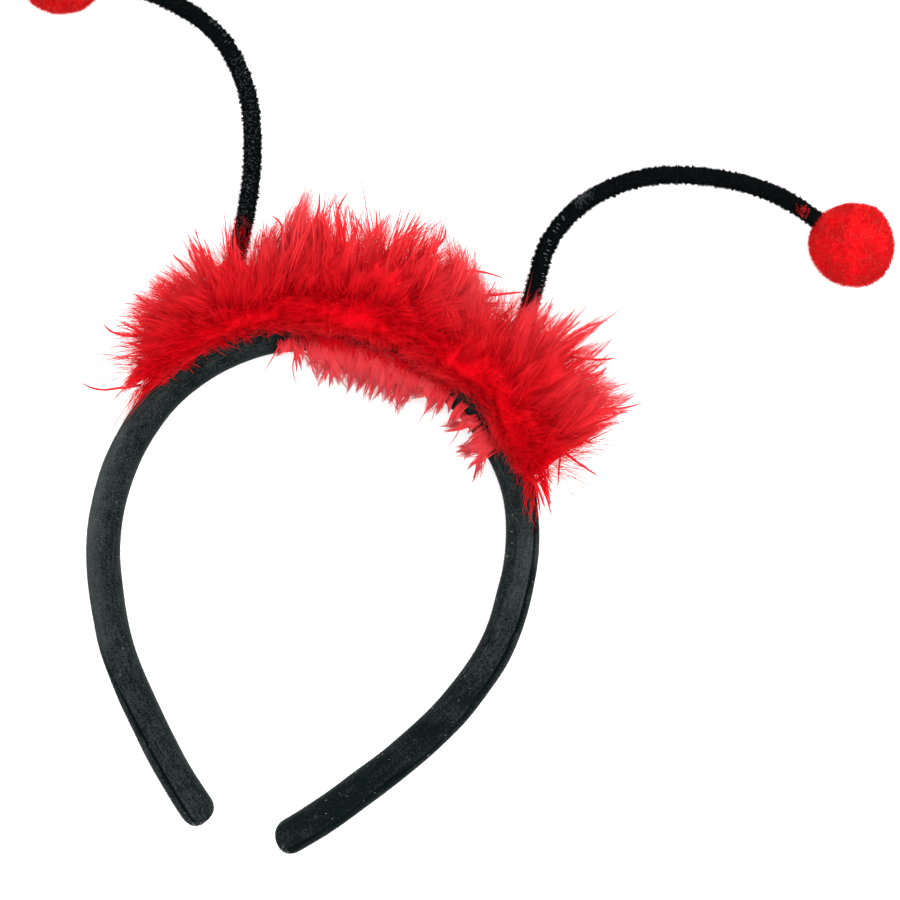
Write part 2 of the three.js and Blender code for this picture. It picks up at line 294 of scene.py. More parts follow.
def band_section(turn):
    """Distance out and height of the padded section, round it from its outer side over the top."""
    across = np.cos(turn)
    upwards = np.sin(turn)
    power = np.where(upwards > 0, 2 / SECTION_POWERS[0], 2 / SECTION_POWERS[1])
    out = BAND_THICKNESS / 2 * np.sign(across) * np.abs(across) ** power
    height = BAND_DEPTH / 2 * (1 + np.sign(upwards) * np.abs(upwards) ** power)
    return out, height


def section_turn(out, height):
    """The reverse of band_section."""
    across = out / (BAND_THICKNESS / 2)
    upwards = height / (BAND_DEPTH / 2) - 1
    power = np.where(upwards > 0, SECTION_POWERS[0] / 2, SECTION_POWERS[1] / 2)
    return np.arctan2(
        np.sign(upwards) * np.abs(upwards) ** power, np.sign(across) * np.abs(across) ** power
    )


def seam_groove(along, turn):
    """How deep the seam runs and how far the lip beside it swells, from 0 to 1."""
    opened, centre = columns_at(SEAM_ROUTE, along)
    away = turn - np.radians(centre)
    groove = np.exp(-((away / SEAM_WIDTH) ** 2))
    lip = np.exp(-(((away + LIP_AWAY) / LIP_WIDTH) ** 2))
    return opened * groove, opened * lip


def from_tip(along):
    """0 at the band's tips and 1 where their rounding ends."""
    return np.clip((half_length - np.abs(along)) / TIP_ROUND, 0, 1)


def on_right_leg(along, change):
    return change["by"] * np.clip((along - change["from"]) / change["over"], 0, 1)


def cover_place(along, out, height):
    """Where points of the plain section end up on the cover: drawn in at the seam, with round tips."""
    groove, lip = seam_groove(along, section_turn(out, height))
    uneven = np.sin(along * PADDING_WAVES[0]) * np.sin(along * PADDING_WAVES[1] + PADDING_PHASE)
    clear = from_tip(along)
    inset = (SEAM_DEPTH * groove - LIP_PLUMP * lip + PADDING_UNEVEN * uneven) * clear
    share = 1 - inset / (BAND_THICKNESS / 2)
    plump = (1 - (TIP_CLOSED * (1 - clear)) ** TIP_POWER) ** (1 / TIP_POWER)
    swell = 1 + on_right_leg(along, RIGHT_LEG_SWELL)
    shift = np.interp(along, sway_steps, sway_line)
    along = along + on_right_leg(along, RIGHT_LEG_STRETCH)
    middle = BAND_DEPTH / 2
    height = middle + (height - middle) * share * (TIP_DEPTH + (1 - TIP_DEPTH) * plump)
    return band_place(along, out * share * plump * swell + shift, np.maximum(height, 0))


def positions(mesh):
    found = np.empty(len(mesh.vertices) * 3)
    mesh.vertices.foreach_get("co", found)
    return found.reshape(-1, 3)


def move_vertices(mesh, places):
    mesh.vertices.foreach_set("co", np.ascontiguousarray(places).ravel())
    mesh.update()


def note(mesh, name, values):
    """Keeps a number or a vector for each vertex of a mesh, for its finish to read."""
    kind, field = ("FLOAT", "value") if values.ndim == 1 else ("FLOAT_VECTOR", "vector")
    mesh.attributes.new(name, kind, "POINT").data.foreach_set(field, values.astype(np.float32).ravel())


def swept_band():
    band = added(
        bpy.ops.mesh.primitive_circle_add,
        "velour_headband",
        vertices=SEAM_POINTS + PLAIN_POINTS,
        radius=BAND_DEPTH / 2,
    )
    seam_turns = np.linspace(*SEAM_ZONE, SEAM_POINTS, endpoint=False)
    plain_turns = np.linspace(SEAM_ZONE[1], SEAM_ZONE[0] + 2 * math.pi, PLAIN_POINTS, endpoint=False)
    out, height = band_section(np.concatenate([seam_turns, plain_turns]))
    move_vertices(band.data, band_place(np.full_like(out, -half_length), out, height))
    knee = np.array([math.sin(CROWN_HALF_TURN), math.cos(CROWN_HALF_TURN)]) * (CROWN_RADIUS - LEG_RADIUS)
    left_leg = crown_middle + knee * (-1, 1)
    right_leg = crown_middle + knee
    tip_turn = TIP_ROUND / LEG_RADIUS
    leg_turn = LEG_LENGTH / LEG_RADIUS - tip_turn
    sweeps = [
        (left_leg, tip_turn, 10),
        (left_leg, leg_turn, 58),
        (crown_middle, 2 * CROWN_HALF_TURN, 150),
        (right_leg, leg_turn, 58),
        (right_leg, tip_turn, 10),
    ]
    bpy.ops.object.mode_set(mode="EDIT")
    bpy.ops.mesh.select_all(action="SELECT")
    for about, turn, steps in sweeps:
        bpy.ops.mesh.spin(steps=steps, angle=turn, center=(*about, 0), axis=(0, 0, 1))
    bpy.ops.mesh.select_all(action="SELECT")
    bpy.ops.mesh.remove_doubles(threshold=1e-6)
    bpy.ops.mesh.fill_holes(sides=0)
    bpy.ops.mesh.select_all(action="DESELECT")
    bpy.ops.mesh.select_face_by_sides(number=4, type="GREATER")
    bpy.ops.mesh.poke()
    bpy.ops.mesh.select_all(action="SELECT")
    bpy.ops.mesh.normals_make_consistent(inside=False)
    bpy.ops.object.mode_set(mode="OBJECT")
    return band


def pad_out(band):
    """Fits the swept section to the finished cover, and notes how its nap lies and where it is pale,
    with a painted sheen along a streak and painted shade in the seam and down the legs.
    """
    swept = positions(band.data)
    along, out = band_measure(swept)
    height = swept[:, 2]
    turn = section_turn(out, height)
    clear = from_tip(along)
    rounded = np.sign(along) * (half_length - TIP_ROUND * clear**TIP_CROWDING)
    along = np.where(clear < 1, rounded, along)
    move_vertices(band.data, cover_place(along, out, height))

    groove, _ = seam_groove(along, turn)
    # The paleness carries a painted sheen along a streak, and painted shade in the seam and down the legs
    plain, streak, centre = columns_at(PAINTED_SHADE_AND_SHEEN, along)
    sheen_across = np.exp(-(((turn - np.radians(centre)) / STREAK_SPREAD) ** 2))
    note(band.data, "pale", plain + streak * sheen_across - SEAM_SHADE * groove)
    note(band.data, "lie", np.stack([along, out, height], axis=1))


def velour_finish():
    finish = Finish("charcoal_velour")
    place = finish.node("ShaderNodeTexCoord")["Object"]
    lie = finish.attribute("lie", "Vector")
    combed = finish.node("ShaderNodeMapping", inputs={"Vector": lie, "Scale": (0.16, 1, 1)})["Vector"]
    pile = finish.noise(place, scale=1900, detail=3)
    streaks = finish.noise(combed, scale=1100, detail=3)
    patches = finish.noise(place, scale=110, detail=2)
    # The paleness from pad_out holds painted sheen and painted shade besides the cover's own tone
    pale = finish.attribute("pale", "Fac")
    share = pale + (pile - 0.5) * 1.4 + (streaks - 0.5) * 0.7 + (patches - 0.5) * 0.5
    shade = finish.node("ShaderNodeClamp", inputs={"Value": share})[0]
    nap = finish.bump(pile * 0.6 + streaks * 0.4, strength=0.6, distance=0.0004)
    sheen = {"Sheen Weight": 0.03, "Sheen Roughness": 0.4, "Sheen Tint": (0.7, 0.8, 0.78, 1)}
    colour = finish.blend(shade, VELOUR_DARK, VELOUR_PALE)
    return finish.surface(finish.matt(colour, 0.95, 0.03, {"Normal": nap, **sheen}))


headband = swept_band()
pad_out(headband)
headband.data.shade_smooth()
headband.data.materials.append(velour_finish())
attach(headband, "root")
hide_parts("headband")


# Velour pile
# The short nap of the cover, combed towards the tips, with pale lint caught in it and the raw ends of
# the cloth showing as frayed threads at both tips.

NAP_COUNT = 9000
NAP_TURNS = (-0.35, 3.5)  # radians round the section, from its outer side over the top
NAP_LENGTH = (0.00035, 0.00075)
NAP_RADIUS = 0.000035
NAP_ENDS = 0.003  # how far from the tips it stops
NAP_COMBED = 0.7
NAP_TANGLED = 0.45
NAP_ROOT = 0.0001  # how deep it is rooted
NAP_DARK = (0.004, 0.007, 0.0069, 1)
NAP_PALE = (0.085, 0.095, 0.094, 1)
LINT_COUNT = 54
LINT_FROM = 0.07  # from the top of the crown
LINT_ENDS = 0.004
LINT_TURNS = (0.5, 2.7)
LINT_LENGTH = (0.0003, 0.001)
LINT_LIE = (1, 1, 0.2)  # it lies flat rather than upright
LINT_CURL = 0.4
LINT_LIFTS = (0.0001, 0.0004, 0.0003)  # how far its root, middle and end stand off the cover
LINT_RADIUS = 0.00005
LINT_COLOUR = (0.3, 0.3, 0.29, 1)
FRAY_COUNT = 34  # at each tip
FRAY_FROM = (0.0002, 0.0022)  # behind the tip
FRAY_TURN = 0.9
FRAY_SPREAD = 0.35
FRAY_LENGTH = (0.0005, 0.0013)
FRAY_LIFTS = (-0.0002, 0.0001, 0)
FRAY_COLOUR = (0.1, 0.105, 0.1, 1)
TABLE_GAP = 0.0002  # how far strands stay off the table

chance = np.random.default_rng(20)


def unit(vectors):
    return vectors / (np.linalg.norm(vectors, axis=-1, keepdims=True) + 1e-12)


def strand_mesh(name, paths, radii, tints, shares=None):
    """Joins closed three-sided strands into one object. paths holds each strand's points from root to
    tip, radii one radius or each point's own, and tints one number from 0 to 1 for each strand. The UV map
    holds the tint and each point's share, by default of the way to the tip, which the finishes read."""
    count, steps = paths.shape[:2]
    rings = steps - 1
    paths = np.maximum(paths, (-np.inf, -np.inf, TABLE_GAP))
    radii = np.broadcast_to(radii, (count, steps))
    forward = unit(np.gradient(paths, axis=1))
    sideways = unit(np.cross(forward, chance.normal(size=(count, 1, 3))))
    upright = np.cross(forward, sideways)
    corner_turns = np.radians([0, 120, 240])
    spokes = sideways[:, :, None] * np.cos(corner_turns)[:, None]
    spokes = spokes + upright[:, :, None] * np.sin(corner_turns)[:, None]
    corners = paths[:, :, None] + spokes * radii[:, :, None, None]
    vertices = corners[:, :rings].reshape(count, rings * 3, 3)
    vertices = np.concatenate([vertices, paths[:, -1:]], axis=1)

    faces = [[2, 1, 0]]
    for ring in range(rings - 1):
        for corner in range(3):
            after = (corner + 1) % 3
            low = 3 * ring
            faces.append([low + corner, low + after, low + 3 + after, low + 3 + corner])
    last = 3 * (rings - 1)
    faces += [[last + corner, last + (corner + 1) % 3, last + 3] for corner in range(3)]
    loops = np.concatenate(faces)
    sizes = np.array([len(face) for face in faces])
    per_strand = vertices.shape[1]
    all_loops = (loops + per_strand * np.arange(count)[:, None]).ravel()
    starts = np.concatenate([[0], np.cumsum(np.tile(sizes, count))[:-1]])

    mesh = bpy.data.meshes.new(name)
    mesh.vertices.add(count * per_strand)
    mesh.vertices.foreach_set("co", vertices.astype(np.float32).ravel())
    mesh.loops.add(len(all_loops))
    mesh.loops.foreach_set("vertex_index", all_loops.astype(np.int32))
    mesh.polygons.add(count * len(faces))
    mesh.polygons.foreach_set("loop_start", starts.astype(np.int32))
    shares = np.broadcast_to(np.linspace(0, 1, steps) if shares is None else shares, (count, steps))
    # The corners of a ring lie a little apart in the map, so that no face is without area there
    spread = (loops % 3) / 3
    uv = np.empty((count, len(loops), 2), np.float32)
    uv[:, :, 0] = tints[:, None] * 0.95 + spread * 0.04
    uv[:, :, 1] = 0.02 + 0.95 * shares[:, np.minimum(loops // 3, steps - 1)] + 0.02 * spread
    mesh.uv_layers.new(name="OFBake").data.foreach_set("uv", uv.ravel())
    mesh.update(calc_edges=True)
    mesh.shade_smooth()
    piece = bpy.data.objects.new(name, mesh)
    bpy.context.scene.collection.objects.link(piece)
    return piece


def strand_share(finish):
    """The strand's own tint and the share of the way to its tip."""
    place = finish.node("ShaderNodeUVMap", {"uv_map": "OFBake"})["UV"]
    parts = finish.node("ShaderNodeSeparateXYZ", inputs={"Vector": place})
    return parts["X"], parts["Y"]


def on_band(along, turn):
    """Points on the band's cover and the directions that stand off it."""
    step = 0.01
    places = cover_place(along, *band_section(turn))
    out_after, height_after = band_section(turn + step)
    out_before, height_before = band_section(turn - step)
    off_out = height_after - height_before
    off_up = out_before - out_after
    _, outward = band_line(along)
    normals = np.concatenate([outward * off_out[:, None], off_up[:, None]], axis=1)
    return places, unit(normals)


def towards_tip(along):
    """Directions along the band towards its nearer tip."""
    _, outward = band_line(along)
    ahead = np.stack([outward[:, 1], -outward[:, 0], np.zeros(len(along))], axis=1)
    return ahead * np.sign(along)[:, None]


def thread_paths(roots, off, reach, lifts, curl=0):
    """Threads of three points each, which stand off the cover by the given lifts."""
    root, middle, end = (roots + lift * off for lift in lifts)
    return np.stack([root, middle + 0.5 * reach + curl, end + reach], axis=1)


def nap_finish():
    finish = Finish("velour_nap")
    tint, share = strand_share(finish)
    return finish.surface(finish.matt(finish.blend(tint * 0.7 + share * 0.3, NAP_DARK, NAP_PALE), 0.85))


def lint_finish():
    finish = Finish("pale_lint")
    tint, _ = strand_share(finish)
    return finish.surface(finish.matt(finish.blend(tint, FRAY_COLOUR, LINT_COLOUR), 0.8))


nap_end = half_length - NAP_ENDS
nap_along = chance.uniform(-nap_end, nap_end, NAP_COUNT)
nap_roots, nap_off = on_band(nap_along, chance.uniform(*NAP_TURNS, NAP_COUNT))
nap_tangle = NAP_TANGLED * chance.normal(size=(NAP_COUNT, 3))
nap_way = unit(nap_off + NAP_COMBED * towards_tip(nap_along) + nap_tangle)
nap_tips = nap_roots + nap_way * chance.uniform(*NAP_LENGTH, NAP_COUNT)[:, None]
nap_paths = np.stack([nap_roots - NAP_ROOT * nap_off, nap_tips], axis=1)
nap = strand_mesh("velour_nap", nap_paths, NAP_RADIUS, chance.random(NAP_COUNT) ** 3)
nap.data.materials.append(nap_finish())
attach(nap, "root")

lint_along = chance.uniform(LINT_FROM, half_length - LINT_ENDS, LINT_COUNT)
lint_along *= chance.choice([-1, 1], LINT_COUNT)
lint_roots, lint_off = on_band(lint_along, chance.uniform(*LINT_TURNS, LINT_COUNT))
lint_way = unit(chance.normal(size=(LINT_COUNT, 3)) * LINT_LIE + 0.2 * lint_off)
lint_length = chance.uniform(*LINT_LENGTH, LINT_COUNT)[:, None]
lint_curl = unit(np.cross(lint_way, lint_off)) * lint_length
lint_curl *= chance.uniform(-LINT_CURL, LINT_CURL, (LINT_COUNT, 1))
lint_paths = thread_paths(lint_roots, lint_off, lint_length * lint_way, LINT_LIFTS, lint_curl)

frays = 2 * FRAY_COUNT
fray_tip = np.repeat([-1.0, 1.0], FRAY_COUNT)
fray_along = fray_tip * (half_length - chance.uniform(*FRAY_FROM, frays))
fray_roots, fray_off = on_band(fray_along, chance.normal(FRAY_TURN, FRAY_SPREAD, frays))
fray_way = unit(towards_tip(fray_along) + 0.4 * fray_off + 0.5 * chance.normal(size=(frays, 3)))
fray_length = chance.uniform(*FRAY_LENGTH, frays)[:, None]
fray_paths = thread_paths(fray_roots, fray_off, fray_length * fray_way, FRAY_LIFTS)

loose_tints = np.concatenate([np.ones(LINT_COUNT), chance.random(frays)])
loose_paths = np.concatenate([lint_paths, fray_paths])
lint = strand_mesh("lint_and_frayed_ends", loose_paths, LINT_RADIUS, loose_tints)
lint.data.materials.append(lint_finish())
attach(lint, "root")


# Chenille feelers
# Black pile held between two wires that are twisted together, glued along the band and bent outwards
# by hand. The pile stands in two ridges that wind round the wire and open up outside a bend.

STEM_RADIUS = 0.00275
STEM_FOOT = [58, 53, 48]  # degrees from the top of the crown
STEM_FOOT_OUT = 0.00831  # from the band's middle line
STEM_FOOT_HEIGHT = 0.0065
# Each stem above its foot, from the middle of the crown, as far as its end inside the pompom
STEM_ROUTES = {
    "left": [
        (-0.0464, 0.0564, 0.0076), (-0.0438, 0.0683, 0.0096), (-0.0432, 0.0923, 0.012),
        (-0.0458, 0.1114, 0.013), (-0.0518, 0.128, 0.0136), (-0.0631, 0.1413, 0.014),
        (-0.0789, 0.148, 0.014), (-0.0939, 0.1498, 0.0136), (-0.1089, 0.1493, 0.013),
    ],
    "right": [
        (0.0485, 0.0544, 0.0076), (0.0462, 0.0664, 0.0096), (0.0462, 0.0904, 0.012),
        (0.0474, 0.1064, 0.013), (0.0553, 0.1202, 0.0136), (0.0707, 0.1311, 0.014),
        (0.0924, 0.136, 0.014), (0.1109, 0.1351, 0.0136), (0.1303, 0.1283, 0.013),
    ],
}
TWIST_PITCH = 0.0036
WIRE_RADIUS = 0.0026
WIRE_SIDES = 10
WIRE_STATIONS = 400
HOLLOW = 0.93  # share of that radius between the two ridges
RIDGE = 0.12  # what a ridge adds
PILE_COUNT = 15000
PILE_RADIUS = 0.00016
PILE_STATIONS = 3000
PILE_SPREAD = 0.8  # radians either side of a ridge
PILE_ROW = 0.0006  # from one row of pile to the next, as the wires' turns hold it
ROW_STRAY = 0.14  # of a row
PILE_LEAN = 0.05
PILE_ROOT = 0.7  # share of the wire's radius
PILE_REACH = (1.14, 1.31)  # shares of the stem's radius
PILE_UNEVEN = 0.03
# Where light catches the pile: shares of the way along the stem, degrees from its top to the right and
# how far they spread, how many short dashes of which length, and how bright they are
GLINTS = [
    ("left", (0.28, 0.66), (-8, 10), 26, 520, 0.0008, 0.5),
    ("left", (0.3, 0.62), (5, 12), 6, 26, 0.0008, 0.6),
    ("left", (0.62, 0.66), (40, 60), 6, 10, 0.0013, 0.7),
    ("left", (0.69, 0.74), (28, 42), 6, 12, 0.0013, 0.7),
    ("right", (0.297, 0.475), (50, -20), 5, 24, 0.0017, 1),
    ("right", (0.505, 0.54), (-18, -45), 16, 150, 0.0009, 0.5),
    ("right", (0.3, 0.97), (0, 0), 40, 600, 0.0007, 0.12),
    ("left", (0.66, 0.97), (0, 0), 40, 300, 0.0007, 0.12),
    ("right", (0.78, 0.792), (-55, -70), 6, 5, 0.0013, 0.7),
]
GLINT_RADIUS = 0.00009
GLINT_OUT = 1.3  # share of the stem's radius
GLINT_STRAY = 11  # stations along the stem
PILE_DARK = (0.0003, 0.0009, 0.0009, 1)
PILE_PALE = (0.034, 0.042, 0.042, 1)
PILE_GLINT = (0.33, 0.38, 0.39, 1)
GLINT_TINTS = (0.9, 1.0)  # tints from here on are glints, up to full brightness


def smooth_route(points, count):
    """Points evenly spaced along the centripetal Catmull-Rom curve through the given ones."""
    points = np.array(points)
    padded = np.vstack([2 * points[0] - points[1], points, 2 * points[-1] - points[-2]])
    share = np.linspace(0, 1, 24, endpoint=False)[:, None]
    pieces = []
    for before, start, end, after in zip(padded, padded[1:], padded[2:], padded[3:]):
        gap_before, gap, gap_after = (
            math.sqrt(np.linalg.norm(b - a)) for a, b in ((before, start), (start, end), (end, after))
        )
        leave = (start - before) / gap_before - (end - before) / (gap_before + gap) + (end - start) / gap
        arrive = (end - start) / gap - (after - start) / (gap + gap_after) + (after - end) / gap_after
        leave, arrive = leave * gap, arrive * gap
        cubic = 2 * start - 2 * end + leave + arrive
        square = -3 * start + 3 * end - 2 * leave - arrive
        pieces.append(start + share * leave + share**2 * square + share**3 * cubic)
    curve = np.vstack([*pieces, points[-1:]])
    travelled = np.concatenate([[0], np.cumsum(np.linalg.norm(np.diff(curve, axis=0), axis=1))])
    even = np.linspace(0, travelled[-1], count)
    return np.stack([np.interp(even, travelled, curve[:, k]) for k in range(3)], axis=1), travelled[-1]


def stem_route(side, count):
    mirror = -1 if side == "left" else 1
    foot_along = mirror * np.radians(STEM_FOOT) * CROWN_RADIUS
    foot = band_place(foot_along, np.full(3, STEM_FOOT_OUT), np.full(3, STEM_FOOT_HEIGHT))
    free = np.array(STEM_ROUTES[side]) + (*crown_middle, 0)
    return smooth_route(np.vstack([foot, free]), count)


def frames_along(route):
    """Directions forward, to one side and upwards at each point of a route, which don't twist with it."""
    forward = unit(np.gradient(route, axis=0))
    side = unit(np.cross((0, 0, 1), forward[0]))
    sides = []
    for way in forward:
        side = unit(side - way * (side @ way))
        sides.append(side)
    sides = np.array(sides)
    return forward, sides, np.cross(forward, sides)


def round_route(frames, station, turn):
    """Directions square to a route, turned by radians from its side towards its top."""
    _, sides, ups = frames
    turn = np.reshape(turn, (-1, 1))
    return sides[station] * np.cos(turn) + ups[station] * np.sin(turn)


def chenille_finish():
    finish = Finish("black_chenille")
    tint, share = strand_share(finish)
    shaded = finish.blend(tint**8 + share * 0.03, PILE_DARK, PILE_PALE)
    bright = {"Value": tint, "From Min": GLINT_TINTS[0], "From Max": GLINT_TINTS[1]}
    glint = finish.node("ShaderNodeMapRange", inputs=bright)["Result"]
    return finish.surface(finish.matt(finish.blend(glint, shaded, PILE_GLINT), 0.7, 0.02))


def wire_finish():
    finish = Finish("pile_roots")
    place = finish.node("ShaderNodeTexCoord")["Object"]
    grain = finish.noise(place, scale=2600, detail=2)
    return finish.surface(finish.matt(finish.blend(grain * 0.08, PILE_DARK, PILE_PALE), 0.9, 0.01))


def stem_wire(side, finish):
    """The matted roots of the pile round the twisted wires, as a winding two-ridged rope."""
    route, length = stem_route(side, WIRE_STATIONS)
    wire = added(
        bpy.ops.mesh.primitive_cylinder_add,
        f"{side}_stem_roots",
        vertices=WIRE_SIDES,
        radius=WIRE_RADIUS,
        depth=length,
    )
    last = WIRE_STATIONS - 1
    bpy.ops.object.mode_set(mode="EDIT")
    for cut in range(1, last):
        bpy.ops.mesh.select_all(action="SELECT")
        bpy.ops.mesh.bisect(plane_co=(0, 0, length * (cut / last - 0.5)), plane_no=(0, 0, 1))
    bpy.ops.object.mode_set(mode="OBJECT")
    places = positions(wire.data)
    station = np.rint((places[:, 2] / length + 0.5) * last).astype(int)
    turn = np.arctan2(places[:, 1], places[:, 0])
    ridge = np.abs(np.cos(turn - 2 * np.pi * station / last * length / TWIST_PITCH))
    reach = np.hypot(places[:, 0], places[:, 1]) * (HOLLOW + RIDGE * ridge)
    radial = round_route(frames_along(route), station, turn)
    move_vertices(wire.data, route[station] + radial * reach[:, None])
    wire.data.shade_smooth()
    wire.data.materials.append(finish)
    return wire


def stem_pile(side, finish):
    """The pile of a stem, with the dashes of light on it."""
    route, length = stem_route(side, PILE_STATIONS)
    frames = frames_along(route)
    rows = int(length / PILE_ROW)
    row = chance.integers(0, rows, PILE_COUNT)
    spot = np.clip((row + 0.5 + chance.normal(0, ROW_STRAY, PILE_COUNT)) / rows, 0, 1)
    row_reach = chance.uniform(*PILE_REACH, rows)[row]
    station = np.minimum((spot * PILE_STATIONS).astype(int), PILE_STATIONS - 1)
    ridge = chance.choice([0, np.pi], PILE_COUNT)
    turn = 2 * np.pi * spot * length / TWIST_PITCH + ridge + chance.normal(0, PILE_SPREAD, PILE_COUNT)
    lean = frames[0][station] * chance.normal(0, PILE_LEAN, (PILE_COUNT, 1))
    way = unit(round_route(frames, station, turn) + lean)
    reach = STEM_RADIUS * (row_reach + chance.normal(0, PILE_UNEVEN, PILE_COUNT))[:, None]
    middle = route[station]
    paths = [np.stack([middle + way * WIRE_RADIUS * PILE_ROOT, middle + way * reach], axis=1)]
    radii = [np.full((PILE_COUNT, 2), PILE_RADIUS)]
    tints = [GLINT_TINTS[0] * chance.random(PILE_COUNT)]
    for stem, shares, turns, spread, count, dash, light in GLINTS:
        if stem != side:
            continue
        share = np.linspace(0, 1, count)
        station = np.interp(share, (0, 1), shares) * (PILE_STATIONS - 1)
        station = np.rint(station + chance.normal(0, GLINT_STRAY, count)).astype(int)
        turn = np.radians(90 + np.interp(share, (0, 1), turns) + chance.normal(0, spread, count))
        half = round_route(frames, station, turn + np.pi / 2) * dash / 2 * chance.uniform(0.5, 1, (count, 1))
        middle = route[station] + round_route(frames, station, turn) * STEM_RADIUS * GLINT_OUT
        paths.append(np.stack([middle - half, middle + half], axis=1))
        radii.append(np.full((count, 2), GLINT_RADIUS))
        tints.append(np.full(count, np.interp(light, (0, 1), GLINT_TINTS)))
    pile = strand_mesh(f"{side}_stem_pile", *(np.concatenate(parts) for parts in (paths, radii, tints)))
    pile.data.materials.append(finish)
    return pile


chenille = chenille_finish()
pile_roots = wire_finish()
for side in ("left", "right"):
    for stem_piece in (stem_wire(side, pile_roots), stem_pile(side, chenille)):
        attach(stem_piece, "root")
        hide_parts(f"{side}_feeler_stem")


# Pompoms
# Balls of bright red acrylic pile, tied in the middle, trimmed round and glued on the ends of the
# feelers. A faint parting shows where the tie draws the pile in.

POMPOM_CORE = 0.94  # share of the pompom's radius
LUMP_SIZE = 0.3
LUMP_HEIGHT = 0.03
FIBRE_COUNT = 14500
FIBRE_RADIUS = 0.00012
FIBRE_ROOT = 0.9
FIBRE_REACH = (0.995, 1.055)
FIBRE_LEAN = 0.42
FIBRE_TANGLE = 0.22
SWIRLS = 6
SWIRL_LEAN = 0.12
SWIRL_LUMP = 0.012
PARTING_DEPTH = 0.022
PARTING_WIDTH = 0.07
PARTING_END = 0.2
# Painted shade: the heart is a darker red than the fibres, standing in for the shade under the pile
HEART_DEEP = (0.6, 0.002, 0.005, 1)
HEART_RED = (0.67, 0.006, 0.01, 1)
# The fibres' roots take painted shade, as deep in the pile, and a few fibres at random a painted highlight
FIBRE_SHADED_ROOT = (0.74, 0.001, 0.005, 1)
FIBRE_RED = (0.82, 0.004, 0.009, 1)
FIBRE_LIT = (0.9, 0.1, 0.092, 1)
# How unevenly the right ball is trimmed: degrees round it as it lies, share of its radius. The left one
# mirrors it.
TRIMMED = [
    (14, 1.01), (69, 1.05), (104, 0.97), (134, 0.93), (156, 1.01), (204, 0.98), (250, 0.95), (284, 1.0),
    (304, 1.04), (334, 1.065),
]


def trimmed_share(side, way):
    """How far a pompom reaches in each direction, as a share of its radius."""
    mirror = -1 if side == "left" else 1
    turn = np.degrees(np.arctan2(way[:, 1], mirror * way[:, 0]))
    (share,) = columns_at(TRIMMED, turn, period=360)
    return 1 + (share - 1) * (1 - np.abs(way[:, 2]))


def fibre_finish():
    finish = Finish("red_acrylic_pile")
    tint, share = strand_share(finish)
    # Painted shade towards the roots, and a painted highlight on a few fibres at random
    colour = finish.blend(tint**3 * 0.95, finish.blend(share, FIBRE_SHADED_ROOT, FIBRE_RED), FIBRE_LIT)
    return finish.surface(finish.lit_through(finish.matt(colour, 0.85, 0.03), colour, 0.35))


def felted_finish():
    finish = Finish("red_felted_heart")
    # A darker red than the fibres' as painted shade under the pile, mottled by grain
    grain = finish.noise(finish.node("ShaderNodeTexCoord")["Object"], scale=1500, detail=3)
    return finish.surface(finish.matt(finish.blend(grain, HEART_DEEP, HEART_RED), 0.95, 0.02))


def pompom_heart(side, centre, radius, finish):
    heart = added(
        bpy.ops.mesh.primitive_ico_sphere_add,
        f"{side}_pompom_heart",
        subdivisions=4,
        radius=radius * POMPOM_CORE,
        location=centre,
    )
    bpy.ops.object.transform_apply(location=True, rotation=True, scale=True)
    lumps = bpy.data.textures.new(f"{side}_lumps", "CLOUDS")
    lumps.noise_scale = radius * LUMP_SIZE
    displace = heart.modifiers.new("lumps", "DISPLACE")
    displace.texture = lumps
    displace.texture_coords = "LOCAL"
    displace.strength = radius * LUMP_HEIGHT
    bpy.ops.object.modifier_apply(modifier=displace.name)
    spokes = positions(heart.data) - centre
    move_vertices(heart.data, centre + spokes * trimmed_share(side, unit(spokes))[:, None])
    heart.data.shade_smooth()
    heart.data.materials.append(finish)
    return heart


def pompom_pile(side, centre, radius, finish):
    way = unit(chance.normal(size=(FIBRE_COUNT, 3)))
    swirl = np.sin(way @ chance.normal(0, 5, (3, SWIRLS)) + chance.uniform(0, 6, SWIRLS))
    tangle = swirl @ chance.normal(0, SWIRL_LEAN, (SWIRLS, 3))
    tangle += chance.normal(0, FIBRE_LEAN, (FIBRE_COUNT, 3))
    across = np.abs(way @ (math.cos(VIEW_TURN), math.sin(VIEW_TURN), 0))
    parting = np.exp(-((across / PARTING_WIDTH) ** 2)) * (way[:, 1] < PARTING_END)
    lumpy = SWIRL_LUMP * swirl.mean(axis=1)
    form = radius * trimmed_share(side, way)
    reach = form * (chance.uniform(*FIBRE_REACH, FIBRE_COUNT) + lumpy - PARTING_DEPTH * parting)
    root = centre + way * form[:, None] * FIBRE_ROOT
    tip = centre + unit(way + tangle * FIBRE_TANGLE) * reach[:, None]
    paths = np.stack([root, tip], axis=1)
    pile = strand_mesh(f"{side}_pompom_pile", paths, FIBRE_RADIUS, chance.random(FIBRE_COUNT))
    pile.data.materials.append(finish)
    return pile


fibre = fibre_finish()
felted = felted_finish()
for side in ("left", "right"):
    ball_low, ball_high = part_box(f"{side}_pompom")
    centre = np.array((ball_low + ball_high) / 2)
    radius = (ball_high - ball_low).z / 2
    for pompom_piece in (
        pompom_heart(side, centre, radius, felted),
        pompom_pile(side, centre, radius, fibre),
    ):
        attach(pompom_piece, "root")
        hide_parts(f"{side}_pompom")


# Marabou trim
# Dyed turkey down bound to a cord that is glued along the outer edge of the crown. A soft mass of down
# lies round the cord, and barbs fan out of it in pointed locks: flat outwards, upwards, and inwards
# over the band.

CORD_RADIUS = 0.0702  # from the middle of the crown
CORD_HEIGHT = 0.0125
CORD_SPREAD = 0.0016  # how far the barbs' roots stray from the cord
TRIM_FROM = -53  # degrees from the top of the crown
TRIM_TO = 55.5
FLARE = 6  # degrees that the locks at the ends lean away from the rest
